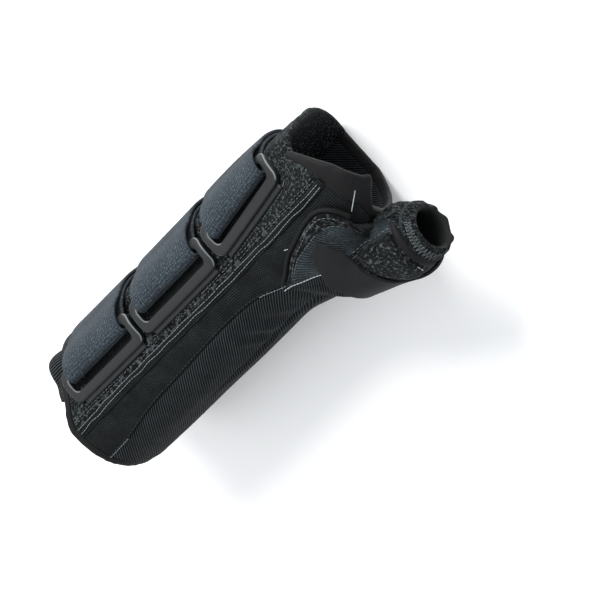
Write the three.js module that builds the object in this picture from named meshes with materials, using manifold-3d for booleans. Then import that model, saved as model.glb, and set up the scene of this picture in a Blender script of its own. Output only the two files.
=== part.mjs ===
// Thumb spica splint for a left hand, lying on its little-finger side.
// Millimetres. +X runs from the forearm end to the hand end, +Y to the back of the hand
// and +Z to the thumb side. Angles round the arm are in degrees: 0 is the thumb side,
// 90 the back of the hand, 180 the side it lies on and -90 the palm side.
// A lift is a height above the outer face of the shell, and a negative one is inside it.

import * as THREE from 'three';
import { mergeVertices } from 'three/addons/utils/BufferGeometryUtils.js';
import Module from 'manifold-3d';

const wasm = await Module();
wasm.setup();

// Shell
const LENGTH = 184;
const DEPTH = 64;
const HEIGHT = 76;
const ROUNDNESS = 2.3;
const REST_FLATTENING = 2.5;
const WALL = 3.5;
const DORSAL_WALL = 2.5;
const GAP = 0.3;

// Edges and seams
const BINDING_WIDTH = 4.2;
const BINDING_EXTRA = 0.4;
const PROXIMAL_BINDING_WIDTH = 3;
const CUFF_START = 2;
const CUFF_WIDTH = 12.5;
const CUFF_PUFF = 4;
const CUFF_LOBES = 4;
const TAPE_WIDTH = 3.2;
const TAPE_THICKNESS = 0.8;
const LAP_ANGLE = 30;
const BUCKLE_PANEL_EDGE = 42;
const BUCKLE_PANEL_CORNER = 6;
const BINDING_LAP = 1.2;
const DORSAL_LEVEL_ANGLE = 64;
const CUFF_FREE_ANGLE = 56;
const DORSAL_SEAM = 160;

// Buckles and straps
const BUCKLE_WIDTH = 14;
const BUCKLE_THICKNESS = 3;
const BUCKLE_SPACE = 2;
const BUCKLE_MARGIN = 15;
const BUCKLE_END_MARGIN = 10.6;
const BUCKLE_NAMES = ['proximal', 'middle', 'distal'];
const BUCKLE_SEAM_SPACE = 7.2;
const BUCKLE_RISE = 2.4;
const BUCKLE_CORNER = 3.5;
const BUCKLE_BEVEL = 0.7;
const LAST_BUCKLE_TURN = 5.5;
const SIDE_BAR = 3.5;
const SLOT_CORNER = 2;
const LOWER_BAR = 4;
const UPPER_BAR = 3.6;
const FLANGE_WIDTH = 2.2;
const FLANGE_THICKNESS = 1.2;
const STRAP_CLEARANCE = 1;
const STRAP_THICKNESS = 1.5;
const STRAP_OUTER_REACH = 64;
const STRAP_INNER_REACH = 74;
const STRAP_SETTLE = 29.4;
const STRAP_END_RADIUS = 8;

// Thumb sleeve
const THUMB_DIAMETER = 29.5;
const THUMB_RIM_DIAMETER = 21.5;
const THUMB_WALL = 2.8;
const THUMB_REACH = 36;
const THUMB_TURN = 22.9;
const THUMB_RISE = 10.5;
const GATHER_LENGTH = 13;
const GATHER_TURN = 5.5;
const GATHER_RISE = 15;
const GATHER_SHARE = 0.76;
const SWELL = 8.5;
const HOLE_SHARE = 0.92;
const BEAD_WIDTH = 1.9;
const BEAD_HEIGHT = 2.2;
const THUMB_STRAP_THICKNESS = 1.2;
const THUMB_PATCH_THICKNESS = 1;
const RIM_BAND_THICKNESS = 0.9;
const TRIM_GAP = 0.75;

// Sections of the shell along its length. at: share of LENGTH; centre: shift towards the
// back, depth: width, both as shares of DEPTH; height: share of HEIGHT.
const SECTIONS = [
  { at: 0, centre: -0.023, depth: 1, height: 1 },
  { at: 0.27, centre: -0.023, depth: 0.985, height: 0.96 },
  { at: 0.54, centre: -0.016, depth: 0.965, height: 0.908 },
  { at: 0.7, centre: 0, depth: 0.94, height: 0.908 },
  { at: 0.86, centre: 0.02, depth: 0.845, height: 1 },
  { at: 1, centre: 0.06, depth: 0.72, height: 1.06 },
];

// Forearm rim of the padded shell. at: angle round the arm; start: share of LENGTH.
const FOREARM_RIM = [
  { at: -200, start: 0 },
  { at: 0, start: 0 },
  { at: 7, start: 0.006 },
  { at: 14, start: 0.02 },
  { at: 20, start: 0.033 },
  { at: 26, start: 0.042 },
  { at: 42, start: 0.047 },
];

// Hand rim of the padded shell. at: angle round the arm; reach: share of LENGTH;
// band: width of the binding there, share of BINDING_WIDTH.
const PALM_RIM = [
  { at: -200, reach: 0.875, band: 1 },
  { at: -150, reach: 0.871, band: 1 },
  { at: -120, reach: 0.88, band: 1 },
  { at: -90, reach: 0.9, band: 1 },
  { at: -70, reach: 0.92, band: 1 },
  { at: -54, reach: 0.937, band: 1 },
  { at: -43, reach: 0.971, band: 1.8 },
  { at: -35, reach: 1, band: 2.8 },
  { at: -28, reach: 0.9935, band: 2.7 },
  { at: -20, reach: 0.989, band: 2.6 },
  { at: -10, reach: 0.9815, band: 2.3 },
  { at: 0, reach: 0.971, band: 1.9 },
  { at: 17, reach: 0.944, band: 1.2 },
  { at: 32, reach: 0.919, band: 1 },
  { at: 42, reach: 0.898, band: 0.9 },
];

// Hand edge of the dorsal panel. at: angle; reach: share of LENGTH.
const DORSAL_RIM = [
  { at: 30, reach: 0.885 },
  { at: 55, reach: 0.892 },
  { at: 68, reach: 0.914 },
  { at: 90, reach: 0.92 },
  { at: 125, reach: 0.9 },
  { at: 160, reach: 0.875 },
];

// Long seams of the padded panels. at: share of the way along them; tape: angle of the
// taped seam; palm: angle of the seam on the palm side, which runs into the thumb sleeve.
const SEAMS = [
  { at: 0, tape: -0.4, palm: -29.5 },
  { at: 0.08, tape: 0.2, palm: -28 },
  { at: 0.2, tape: 0.8, palm: -22 },
  { at: 0.35, tape: 1.2, palm: -19.3 },
  { at: 0.52, tape: 1.2, palm: -17.4 },
  { at: 0.63, tape: 1.2, palm: -20.5 },
  { at: 0.7, tape: 1.2, palm: -30 },
  { at: 0.79, tape: 1.2, palm: -40 },
  { at: 0.88, tape: 1, palm: -50 },
  { at: 1, tape: 0, palm: -58 },
];

// Where the padded palm side swells towards the thumb. Places are a share of LENGTH and an
// angle, with the half lengths over which the swell dies out.
const SWELL_PLACE = { along: 0.76, around: -68, halfLength: 0.2, halfAngle: 50 };

// Middle of the sleeve's base, from which its axis starts: shares of LENGTH, DEPTH, HEIGHT.
const THUMB_BASE = { along: 0.744, across: -0.358, up: 0.605 };

// Foot of the thumb sleeve on the shell, in turn round it. along: share of LENGTH; around:
// angle round the arm; rim: angle round the sleeve of the rim's point that it runs up to;
// rise: angle at which the sleeve leaves the shell.
const THUMB_FOOT = [
  { along: 0.658, around: -31, rim: -20, rise: 5 },
  { along: 0.696, around: -23, rim: 2, rise: 4 },
  { along: 0.739, around: -15.8, rim: 22, rise: 3 },
  { along: 0.788, around: -12.3, rim: 40, rise: 3 },
  { along: 0.834, around: -9.8, rim: 55, rise: 3 },
  { along: 0.872, around: -12, rim: 68, rise: 4 },
  { along: 0.893, around: -22, rim: 80, rise: 8 },
  { along: 0.896, around: -37, rim: 92, rise: 16 },
  { along: 0.886, around: -56, rim: 108, rise: 28 },
  { along: 0.868, around: -74, rim: 130, rise: 38 },
  { along: 0.835, around: -89, rim: 158, rise: 42 },
  { along: 0.788, around: -96, rim: 190, rise: 40 },
  { along: 0.742, around: -93, rim: 222, rise: 34 },
  { along: 0.712, around: -80, rim: 254, rise: 26 },
  { along: 0.696, around: -63, rim: 284, rise: 18 },
  { along: 0.676, around: -46, rim: 313, rise: 10 },
];

// The stretch of the sleeve's foot that has a rolled edge, in turns round it.
const BEAD_TURNS = { from: 0.015, to: 0.42 };

// Smooth band round the sleeve. at: share of the turn; near and far: its edges, as shares
// of the way from the foot to the rim.
const THUMB_STRAP_EDGES = [
  { at: -0.42, near: 0.42, far: 0.88 },
  { at: -0.25, near: 0.3, far: 0.88 },
  { at: -0.14, near: 0.27, far: 0.82 },
  { at: -0.09, near: 0.27, far: 0.65 },
  { at: -0.03, near: 0.29, far: 0.58 },
  { at: 0.03, near: 0.285, far: 0.53 },
  { at: 0.08, near: 0.24, far: 0.48 },
  { at: 0.13, near: 0.2, far: 0.43 },
  { at: 0.18, near: 0.165, far: 0.37 },
  { at: 0.22, near: 0.16, far: 0.25 },
];

// Fuzzy patch between the smooth band and the rim band.
const THUMB_PATCH_EDGES = [
  { at: -0.1, near: 0.76, far: 0.81 },
  { at: -0.07, near: 0.67, far: 0.835 },
  { at: -0.04, near: 0.625, far: 0.835 },
  { at: 0, near: 0.59, far: 0.825 },
  { at: 0.05, near: 0.545, far: 0.81 },
  { at: 0.1, near: 0.5, far: 0.79 },
  { at: 0.13, near: 0.57, far: 0.785 },
  { at: 0.15, near: 0.7, far: 0.78 },
];

// Narrow band where the sleeve starts to gather.
const RIM_BAND_EDGES = [
  { at: -0.1, near: 0.875, far: 0.915 },
  { at: -0.04, near: 0.865, far: 0.905 },
  { at: 0, near: 0.85, far: 0.89 },
  { at: 0.05, near: 0.835, far: 0.88 },
  { at: 0.1, near: 0.815, far: 0.865 },
  { at: 0.15, near: 0.8, far: 0.845 },
  { at: 0.19, near: 0.79, far: 0.83 },
];

const FABRIC = { roughness: 0.92, metalness: 0 };
const MATERIALS = {
  twill: { color: 0x4c5356, ...FABRIC },
  loop: { color: 0x4a5053, ...FABRIC },
  ribbed: { color: 0x53585a, ...FABRIC },
  elastic: { color: 0x45494c, ...FABRIC },
  binding: { color: 0x4b4a4e, ...FABRIC },
  webbing: { color: 0x6d7882, ...FABRIC },
  smooth: { color: 0x55585b, ...FABRIC },
  plastic: { color: 0x565a5c, roughness: 0.5, metalness: 0 },
};

const rad = THREE.MathUtils.degToRad;
const mix = THREE.MathUtils.lerp;
const clamp = THREE.MathUtils.clamp;
const smoothstep = THREE.MathUtils.smoothstep;

function signedPower(value, power) {
  return Math.sign(value) * Math.abs(value) ** power;
}

// A column of a table at any place, on a smooth curve through its rows.
function tableValue(rows, column, at) {
  let row = 0;
  while (row < rows.length - 2 && at > rows[row + 1].at) row += 1;
  const slope = (index) => {
    const before = rows[Math.max(index - 1, 0)];
    const after = rows[Math.min(index + 1, rows.length - 1)];
    return (after[column] - before[column]) / (after.at - before.at);
  };
  const start = rows[row];
  const end = rows[row + 1];
  const span = end.at - start.at;
  const share = clamp((at - start.at) / span, 0, 1);
  const ease = share * share * (3 - 2 * share);
  const leave = share * (1 - share) ** 2 * slope(row) * span;
  const arrive = share * share * (share - 1) * slope(row + 1) * span;
  return mix(start[column], end[column], ease) + leave + arrive;
}

// Shell surface

function swellLift(x, angle) {
  const alongShare = (x / LENGTH - SWELL_PLACE.along) / SWELL_PLACE.halfLength;
  const aroundShare = (angle - SWELL_PLACE.around) / SWELL_PLACE.halfAngle;
  if (Math.abs(alongShare) >= 1 || Math.abs(aroundShare) >= 1) return 0;
  return SWELL * (Math.cos(alongShare * Math.PI / 2) * Math.cos(aroundShare * Math.PI / 2)) ** 2;
}

function surfacePoint(x, angle, lift = 0) {
  const at = x / LENGTH;
  const halfDepth = DEPTH / 2 * tableValue(SECTIONS, 'depth', at);
  const halfHeight = HEIGHT / 2 * tableValue(SECTIONS, 'height', at);
  const centre = DEPTH * tableValue(SECTIONS, 'centre', at);
  const sine = Math.sin(rad(angle));
  const cosine = Math.cos(rad(angle));
  const power = 2 / ROUNDNESS;
  const outward = new THREE.Vector3(
    0, signedPower(sine, 2 - power) / halfDepth, signedPower(cosine, 2 - power) / halfHeight);
  outward.normalize();
  const point = new THREE.Vector3(
    x,
    centre + halfDepth * signedPower(sine, power),
    halfHeight - REST_FLATTENING + halfHeight * signedPower(cosine, power));
  point.addScaledVector(outward, lift + swellLift(x, angle));
  point.z = Math.max(point.z, -lift, 0);
  return point;
}

// The angle reached by going a length round the shell from a starting angle.
function angleAfter(x, startAngle, length) {
  const STEP = 1.5;
  const side = Math.sign(length);
  let angle = startAngle;
  let left = Math.abs(length);
  let here = surfacePoint(x, angle);
  while (left > 0) {
    const next = surfacePoint(x, angle + side * STEP);
    const stride = next.distanceTo(here);
    if (stride >= left) return angle + side * STEP * left / stride;
    left -= stride;
    angle += side * STEP;
    here = next;
  }
  return angle;
}

function palmRim(angle) {
  return LENGTH * tableValue(PALM_RIM, 'reach', angle);
}

function palmBand(angle) {
  return BINDING_WIDTH * tableValue(PALM_RIM, 'band', angle);
}

function forearmRim(angle) {
  return LENGTH * tableValue(FOREARM_RIM, 'start', angle);
}

// A place along the padded panels, from their forearm edge, 0, to their hand edge, 1.
function panelX(share, angle) {
  const start = forearmRim(angle) + PROXIMAL_BINDING_WIDTH + GAP;
  return mix(start, palmRim(angle) - palmBand(angle) - GAP, share);
}

// Solids

function solidGeometry(vertices, faces) {
  const geometry = new THREE.BufferGeometry();
  geometry.setAttribute('position', new THREE.Float32BufferAttribute(vertices.flatMap((v) => [v.x, v.y, v.z]), 3));
  let volume = 0;
  for (const [a, b, c] of faces) {
    volume += vertices[a].dot(new THREE.Vector3().crossVectors(vertices[b], vertices[c]));
  }
  const outward = volume > 0 ? faces : faces.map(([a, b, c]) => [a, c, b]);
  geometry.setIndex(outward.flat());
  return geometry;
}

// A closed sheet with a wall: place(row share, column share, top) gives its corners.
function patchSolid(rows, columns, place) {
  const vertices = [];
  for (const top of [true, false]) {
    for (let row = 0; row <= rows; row += 1) {
      for (let column = 0; column <= columns; column += 1) {
        vertices.push(place(row / rows, column / columns, top));
      }
    }
  }
  const under = (rows + 1) * (columns + 1);
  const index = (row, column) => row * (columns + 1) + column;
  const faces = [];
  const quad = (a, b, c, d) => faces.push([a, b, c], [a, c, d]);
  for (let row = 0; row < rows; row += 1) {
    for (let column = 0; column < columns; column += 1) {
      const corners = [
        index(row, column), index(row + 1, column), index(row + 1, column + 1), index(row, column + 1)];
      quad(...corners);
      quad(...corners.map((corner) => corner + under).reverse());
    }
  }
  for (let row = 0; row < rows; row += 1) {
    const left = [index(row, 0), index(row + 1, 0)];
    const right = [index(row, columns), index(row + 1, columns)];
    quad(left[1], left[0], left[0] + under, left[1] + under);
    quad(right[0], right[1], right[1] + under, right[0] + under);
  }
  for (let column = 0; column < columns; column += 1) {
    const near = [index(0, column), index(0, column + 1)];
    const far = [index(rows, column), index(rows, column + 1)];
    quad(near[0], near[1], near[1] + under, near[0] + under);
    quad(far[1], far[0], far[0] + under, far[1] + under);
  }
  return solidGeometry(vertices, faces);
}

// A solid through rings of corners: closed on itself, or capped at its first and last ring.
function ringSolid(rings, closed) {
  const count = rings[0].length;
  const vertices = rings.flat();
  const faces = [];
  const steps = closed ? rings.length : rings.length - 1;
  for (let ring = 0; ring < steps; ring += 1) {
    const next = (ring + 1) % rings.length;
    for (let corner = 0; corner < count; corner += 1) {
      const beside = (corner + 1) % count;
      const a = ring * count + corner;
      const b = ring * count + beside;
      const c = next * count + beside;
      const d = next * count + corner;
      faces.push([a, b, c], [a, c, d]);
    }
  }
  if (!closed) {
    const cap = (ring, flip) => {
      const middle = vertices.length;
      const sum = rings[ring].reduce((total, v) => total.add(v), new THREE.Vector3());
      vertices.push(sum.divideScalar(count));
      for (let corner = 0; corner < count; corner += 1) {
        const a = ring * count + corner;
        const b = ring * count + (corner + 1) % count;
        faces.push(flip ? [middle, b, a] : [middle, a, b]);
      }
    };
    cap(0, true);
    cap(rings.length - 1, false);
  }
  return solidGeometry(vertices, faces);
}

function asManifold(geometry) {
  const bare = geometry.clone();
  bare.deleteAttribute('normal');
  bare.deleteAttribute('uv');
  const merged = mergeVertices(bare);
  return new wasm.Manifold(new wasm.Mesh({
    numProp: 3,
    vertProperties: new Float32Array(merged.attributes.position.array),
    triVerts: new Uint32Array(merged.index.array),
  }));
}

function asGeometry(solid) {
  const { vertProperties, triVerts } = solid.getMesh();
  const geometry = new THREE.BufferGeometry();
  geometry.setAttribute('position', new THREE.Float32BufferAttribute(vertProperties, 3));
  geometry.setIndex([...triVerts]);
  return geometry;
}

// Thumb sleeve surface

const footRows = [-1, 0, 1].flatMap((round) => THUMB_FOOT.map((row, index) => ({
  ...row,
  at: round + index / THUMB_FOOT.length,
  rim: row.rim + 360 * round,
})));

function footRing(turn) {
  return {
    x: LENGTH * tableValue(footRows, 'along', turn),
    angle: tableValue(footRows, 'around', turn),
    rim: tableValue(footRows, 'rim', turn),
    rise: tableValue(footRows, 'rise', turn),
  };
}

const footCentre = {
  x: LENGTH * THUMB_FOOT.reduce((sum, row) => sum + row.along, 0) / THUMB_FOOT.length,
  angle: THUMB_FOOT.reduce((sum, row) => sum + row.around, 0) / THUMB_FOOT.length,
};

function direction(turn, rise) {
  return new THREE.Vector3(
    Math.cos(rad(rise)) * Math.cos(rad(turn)),
    -Math.cos(rad(rise)) * Math.sin(rad(turn)),
    Math.sin(rad(rise)));
}

// A round end of a stretch of the sleeve: its middle, its axis and its diameter.
function sleeveRing(middle, axis, diameter) {
  const up = new THREE.Vector3(0, 0, 1).addScaledVector(axis, -axis.z).normalize();
  const side = new THREE.Vector3().crossVectors(up, axis);
  return { middle, axis, up, side, radius: (diameter - THUMB_WALL) / 2 };
}

const thumbBase = new THREE.Vector3(
  LENGTH * THUMB_BASE.along, DEPTH * THUMB_BASE.across, HEIGHT * THUMB_BASE.up);
const gatherAxis = direction(THUMB_TURN, THUMB_RISE);
const gatherRing = sleeveRing(
  thumbBase.clone().addScaledVector(gatherAxis, THUMB_REACH), gatherAxis, THUMB_DIAMETER);
const rimAxis = direction(GATHER_TURN, GATHER_RISE);
const gatherPath = gatherAxis.clone().add(rimAxis).normalize();
const rimRing = sleeveRing(
  gatherRing.middle.clone().addScaledVector(gatherPath, GATHER_LENGTH), rimAxis, THUMB_RIM_DIAMETER);

function ringPoint(ring, angle) {
  const point = ring.middle.clone();
  point.addScaledVector(ring.up, ring.radius * Math.cos(rad(angle)));
  return point.addScaledVector(ring.side, ring.radius * Math.sin(rad(angle)));
}

// A smooth line between two points, with the directions that it leaves and arrives in.
function smoothLine(start, leave, end, arrive, share) {
  const span = end.distanceTo(start);
  const point = start.clone().lerp(end, share * share * (3 - 2 * share));
  point.addScaledVector(leave, span * share * (1 - share) ** 2);
  return point.addScaledVector(arrive, span * share * share * (share - 1));
}

// A point's place on the shell: its angle and its height above the surface.
function placeOnShell(point) {
  const at = point.x / LENGTH;
  const halfHeight = HEIGHT / 2 * tableValue(SECTIONS, 'height', at);
  const across = (point.y - DEPTH * tableValue(SECTIONS, 'centre', at))
    / (DEPTH / 2 * tableValue(SECTIONS, 'depth', at));
  const up = (point.z - halfHeight + REST_FLATTENING) / halfHeight;
  const angle = THREE.MathUtils.radToDeg(Math.atan2(
    signedPower(across, ROUNDNESS / 2), signedPower(up, ROUNDNESS / 2)));
  const seat = surfacePoint(point.x, angle);
  const outward = surfacePoint(point.x, angle, 1).sub(seat).normalize();
  return { outward, lift: point.clone().sub(seat).dot(outward) };
}

// Lifts a point of the sleeve that would run through the shell, so that it lies on it.
function clearOfShell(point) {
  const SOFTNESS = 2;
  if (point.x > LENGTH) return point;
  const seat = 2 * GAP + THUMB_WALL / 2;
  const { outward, lift } = placeOnShell(point);
  const over = lift - seat;
  if (over > SOFTNESS || over < -DEPTH / 2) return point;
  const raised = over < -SOFTNESS ? -over : (SOFTNESS - over) ** 2 / (4 * SOFTNESS);
  return point.addScaledVector(outward, raised);
}

// The middle of the sleeve's wall. turn: share of the way round; share: 0 foot, 1 rim.
function sleeveMiddle(turn, share) {
  return clearOfShell(sleeveLine(turn, share));
}

// The same line before it is kept clear of the shell.
function sleeveLine(turn, share) {
  const foot = footRing(turn);
  const gathered = ringPoint(gatherRing, foot.rim);
  if (share > GATHER_SHARE) {
    const past = (share - GATHER_SHARE) / (1 - GATHER_SHARE);
    return smoothLine(gathered, gatherAxis, ringPoint(rimRing, foot.rim), rimAxis, past);
  }
  const seat = GAP + THUMB_WALL / 2;
  const start = surfacePoint(foot.x, foot.angle, seat);
  const INWARD = 0.12;
  const inward = surfacePoint(
    mix(foot.x, footCentre.x, INWARD), mix(foot.angle, footCentre.angle, INWARD), seat);
  inward.sub(start).normalize();
  const outward = surfacePoint(foot.x, foot.angle, seat + 1).sub(start);
  const leave = inward.multiplyScalar(Math.cos(rad(foot.rise)));
  leave.addScaledVector(outward, Math.sin(rad(foot.rise)));
  const FLARE_PULL = 0.75;
  return smoothLine(start, leave.multiplyScalar(FLARE_PULL), gathered, gatherAxis, share / GATHER_SHARE);
}

// A point on the sleeve, at a height above its outer face.
function sleevePoint(turn, share, lift) {
  const NUDGE = 0.004;
  const along = sleeveMiddle(turn, share + NUDGE).sub(sleeveMiddle(turn, share - NUDGE));
  const around = sleeveMiddle(turn + NUDGE, share).sub(sleeveMiddle(turn - NUDGE, share));
  const outward = along.cross(around).normalize();
  return sleeveMiddle(turn, share).addScaledVector(outward, THUMB_WALL / 2 + lift);
}

// Nodes

const splint = new THREE.Group();

function addNode(name, geometry, material) {
  const mesh = new THREE.Mesh(geometry, new THREE.MeshStandardMaterial(MATERIALS[material]));
  mesh.name = name;
  splint.add(mesh);
  return mesh;
}

// A padded panel between two angles, each a function of the share along it.
function panelSolid(rows, columns, fromAngle, toAngle) {
  return patchSolid(rows, columns, (share, across, top) => {
    const angle = mix(fromAngle(share), toAngle(share), across);
    return surfacePoint(panelX(share, angle), angle, top ? 0 : -WALL);
  });
}

function degreesFor(length) {
  return THREE.MathUtils.radToDeg(length / ((DEPTH + HEIGHT) / 4));
}

const SEAM_SPACE = degreesFor(GAP) / 2;
const tapeSeam = (share) => tableValue(SEAMS, 'tape', share);
const palmSeam = (share) => tableValue(SEAMS, 'palm', share);

// The way into the sleeve, cut through the panels under it.
function thumbHole() {
  const CORNERS = 36;
  const REACH = WALL * 2;
  const ring = (scale, lift) => Array.from({ length: CORNERS }, (_, corner) => {
    const foot = footRing(corner / CORNERS);
    return surfacePoint(
      mix(footCentre.x, foot.x, scale), mix(footCentre.angle, foot.angle, scale), lift);
  });
  const shrink = [0.1, 0.4, 0.7];
  return ringSolid([
    ...shrink.map((scale) => ring(scale * HOLE_SHARE, -REACH)),
    ring(HOLE_SHARE, -REACH),
    ring(HOLE_SHARE, REACH),
    ...shrink.toReversed().map((scale) => ring(scale * HOLE_SHARE, REACH)),
  ], false);
}

function addPaddedPanels() {
  const hole = asManifold(thumbHole());
  const radial = panelSolid(20, 5, (s) => palmSeam(s) + SEAM_SPACE, (s) => tapeSeam(s) - SEAM_SPACE);
  addNode('radial_panel', asGeometry(asManifold(radial).subtract(hole)), 'twill');
  const volar = panelSolid(20, 16, () => DORSAL_SEAM - 360 + SEAM_SPACE, (s) => palmSeam(s) - SEAM_SPACE);
  addNode('volar_panel', asGeometry(asManifold(volar).subtract(hole)), 'ribbed');
  const edge = (share) => {
    const fromEnd = Math.min(share, 1 - share) * (panelX(1, BUCKLE_PANEL_EDGE) - panelX(0, BUCKLE_PANEL_EDGE));
    const short = 1 - Math.min(fromEnd / BUCKLE_PANEL_CORNER, 1);
    return BUCKLE_PANEL_EDGE - degreesFor(BUCKLE_PANEL_CORNER) * (1 - Math.sqrt(1 - short ** 2));
  };
  addNode('buckle_panel', panelSolid(20, 5, (s) => tapeSeam(s) + SEAM_SPACE, edge), 'loop');
}

function addSeamTape() {
  const tape = patchSolid(20, 2, (share, across, top) => {
    const angle = tapeSeam(share) + degreesFor(TAPE_WIDTH) * (across - 0.5);
    return surfacePoint(panelX(share, angle), angle, top ? GAP + TAPE_THICKNESS : GAP);
  });
  addNode('seam_tape', tape, 'twill');
}

// The dorsal side lies under the buckle panel's edge and comes up level past it.
function dorsalLift(angle) {
  return -(WALL + GAP) * (1 - smoothstep(angle, BUCKLE_PANEL_EDGE + degreesFor(BINDING_LAP), DORSAL_LEVEL_ANGLE));
}

function addDorsalSide() {
  const start = CUFF_START + CUFF_WIDTH + GAP;
  const panel = patchSolid(14, 14, (share, across, top) => {
    const angle = mix(LAP_ANGLE, DORSAL_SEAM - SEAM_SPACE, across);
    const x = mix(start, LENGTH * tableValue(DORSAL_RIM, 'reach', angle), share);
    return surfacePoint(x, angle, dorsalLift(angle) - (top ? 0 : DORSAL_WALL));
  });
  addNode('dorsal_panel', panel, 'loop');
  const cuff = patchSolid(4, 24, (share, across, top) => {
    const angle = mix(LAP_ANGLE, DORSAL_SEAM - SEAM_SPACE, across);
    const rounded = Math.sin(Math.PI * share);
    const lobes = Math.abs(Math.sin(Math.PI * CUFF_LOBES * across));
    const free = smoothstep(angle, BUCKLE_PANEL_EDGE, CUFF_FREE_ANGLE);
    const puff = CUFF_PUFF * rounded * lobes * free;
    return surfacePoint(CUFF_START + CUFF_WIDTH * share, angle, dorsalLift(angle) + (top ? puff : -DORSAL_WALL));
  });
  addNode('elastic_cuff', cuff, 'elastic');
}

// Section of an edge binding. along: share of its width; down: share of the wall below the
// shell's face; proud: share of the height that it stands above it.
const BINDING_SECTION = [
  { along: 0, down: 0, proud: 0 },
  { along: 0.55, down: 0, proud: 1 },
  { along: 0.9, down: 0.15, proud: 0 },
  { along: 1, down: 0.5, proud: 0 },
  { along: 0.9, down: 0.85, proud: 0 },
  { along: 0, down: 1, proud: 0 },
];

// An edge binding: a rounded strip between two places along X, a little thicker than the wall.
function bindingSolid(steps, fromAngle, toAngle, innerX, rimX) {
  const rings = Array.from({ length: steps + 1 }, (_, step) => {
    const angle = mix(fromAngle, toAngle, step / steps);
    return BINDING_SECTION.map(({ along, down, proud }) => surfacePoint(
      mix(innerX(angle), rimX(angle), along), angle, BINDING_EXTRA * proud - WALL * down));
  });
  return ringSolid(rings, false);
}

function addBindings() {
  const end = DORSAL_SEAM - 360 + SEAM_SPACE;
  const start = BUCKLE_PANEL_EDGE - degreesFor(BINDING_LAP);
  const palm = bindingSolid(
    44, start, end, (angle) => palmRim(angle) - palmBand(angle), palmRim);
  addNode('palm_binding', palm, 'binding');
  const proximal = bindingSolid(
    40, start, end, (angle) => forearmRim(angle) + PROXIMAL_BINDING_WIDTH, forearmRim);
  addNode('proximal_binding', proximal, 'binding');
}

// Buckles and straps

// The buckles share the length of their panel between them.
const BUCKLE_LENGTH = (panelX(1, BUCKLE_PANEL_EDGE / 2) - BUCKLE_MARGIN - BUCKLE_END_MARGIN
  - BUCKLE_SPACE * (BUCKLE_NAMES.length - 1)) / BUCKLE_NAMES.length;
const SLOT_LENGTH = BUCKLE_LENGTH - 2 * SIDE_BAR;

// A flat pattern's place on the shell: along the bars, across them and above the surface.
// A turned buckle keeps its lowest corner level with the others.
function bucklePlace(x, turn) {
  const seam = tapeSeam((x - panelX(0, 0)) / (panelX(1, 0) - panelX(0, 0)));
  return (along, across, lift) => {
    const middle = across - BUCKLE_WIDTH / 2;
    const sideways = along * Math.cos(rad(turn)) - middle * Math.sin(rad(turn));
    const raised = BUCKLE_SEAM_SPACE + BUCKLE_WIDTH / 2 + BUCKLE_LENGTH / 2 * Math.sin(rad(turn));
    const upward = along * Math.sin(rad(turn)) + middle * Math.cos(rad(turn)) + raised;
    return surfacePoint(x + sideways, angleAfter(x + sideways, seam, upward), lift);
  };
}

// Corners of a rounded rectangle, the same number whatever its size.
function roundedLoop(length, width, radius, centreAcross) {
  const CORNER_STEPS = 3;
  const SIDE_STEPS = { along: 6, across: 3 };
  const loop = [];
  const corners = [[1, 1], [-1, 1], [-1, -1], [1, -1]];
  corners.forEach(([alongSide, acrossSide], index) => {
    const centre = [alongSide * (length / 2 - radius), acrossSide * (width / 2 - radius)];
    for (let step = 0; step <= CORNER_STEPS; step += 1) {
      const turn = (index + step / CORNER_STEPS) * Math.PI / 2;
      loop.push([centre[0] + radius * Math.cos(turn), centre[1] + radius * Math.sin(turn)]);
    }
    const next = corners[(index + 1) % 4];
    const from = loop.at(-1);
    const to = alongSide === next[0]
      ? [from[0], next[1] * (width / 2 - radius)]
      : [next[0] * (length / 2 - radius), from[1]];
    const steps = alongSide === next[0] ? SIDE_STEPS.across : SIDE_STEPS.along;
    for (let step = 1; step < steps; step += 1) {
      loop.push([mix(from[0], to[0], step / steps), mix(from[1], to[1], step / steps)]);
    }
  });
  return loop.map(([along, across]) => ({ along, across: across + centreAcross }));
}

function buckleSolid(place) {
  const foot = (across) => GAP + BUCKLE_RISE * smoothstep(across, 0, BUCKLE_WIDTH - UPPER_BAR);
  const ring = (loop, height) => loop.map(({ along, across }) => place(along, across, foot(across) + height));
  const outer = (inset) => roundedLoop(
    BUCKLE_LENGTH - 2 * inset, BUCKLE_WIDTH - 2 * inset, BUCKLE_CORNER - inset, BUCKLE_WIDTH / 2);
  const slotWidth = BUCKLE_WIDTH - LOWER_BAR - UPPER_BAR;
  const inner = (inset) => roundedLoop(
    SLOT_LENGTH + 2 * inset, slotWidth + 2 * inset, SLOT_CORNER + inset, LOWER_BAR + slotWidth / 2);
  const frame = ringSolid([
    ring(outer(0), 0),
    ring(outer(0), BUCKLE_THICKNESS - BUCKLE_BEVEL),
    ring(outer(BUCKLE_BEVEL), BUCKLE_THICKNESS),
    ring(inner(BUCKLE_BEVEL), BUCKLE_THICKNESS),
    ring(inner(0), BUCKLE_THICKNESS - BUCKLE_BEVEL),
    ring(inner(0), 0),
  ], true);
  const flange = patchSolid(2, 6, (share, across, top) => {
    const along = (BUCKLE_LENGTH - 2 * BUCKLE_CORNER) * (across - 0.5);
    const height = top ? FLANGE_THICKNESS : GAP / 2;
    return place(along, mix(-FLANGE_WIDTH, LOWER_BAR / 2, share), GAP + height);
  });
  return asGeometry(asManifold(frame).add(asManifold(flange)));
}

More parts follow.
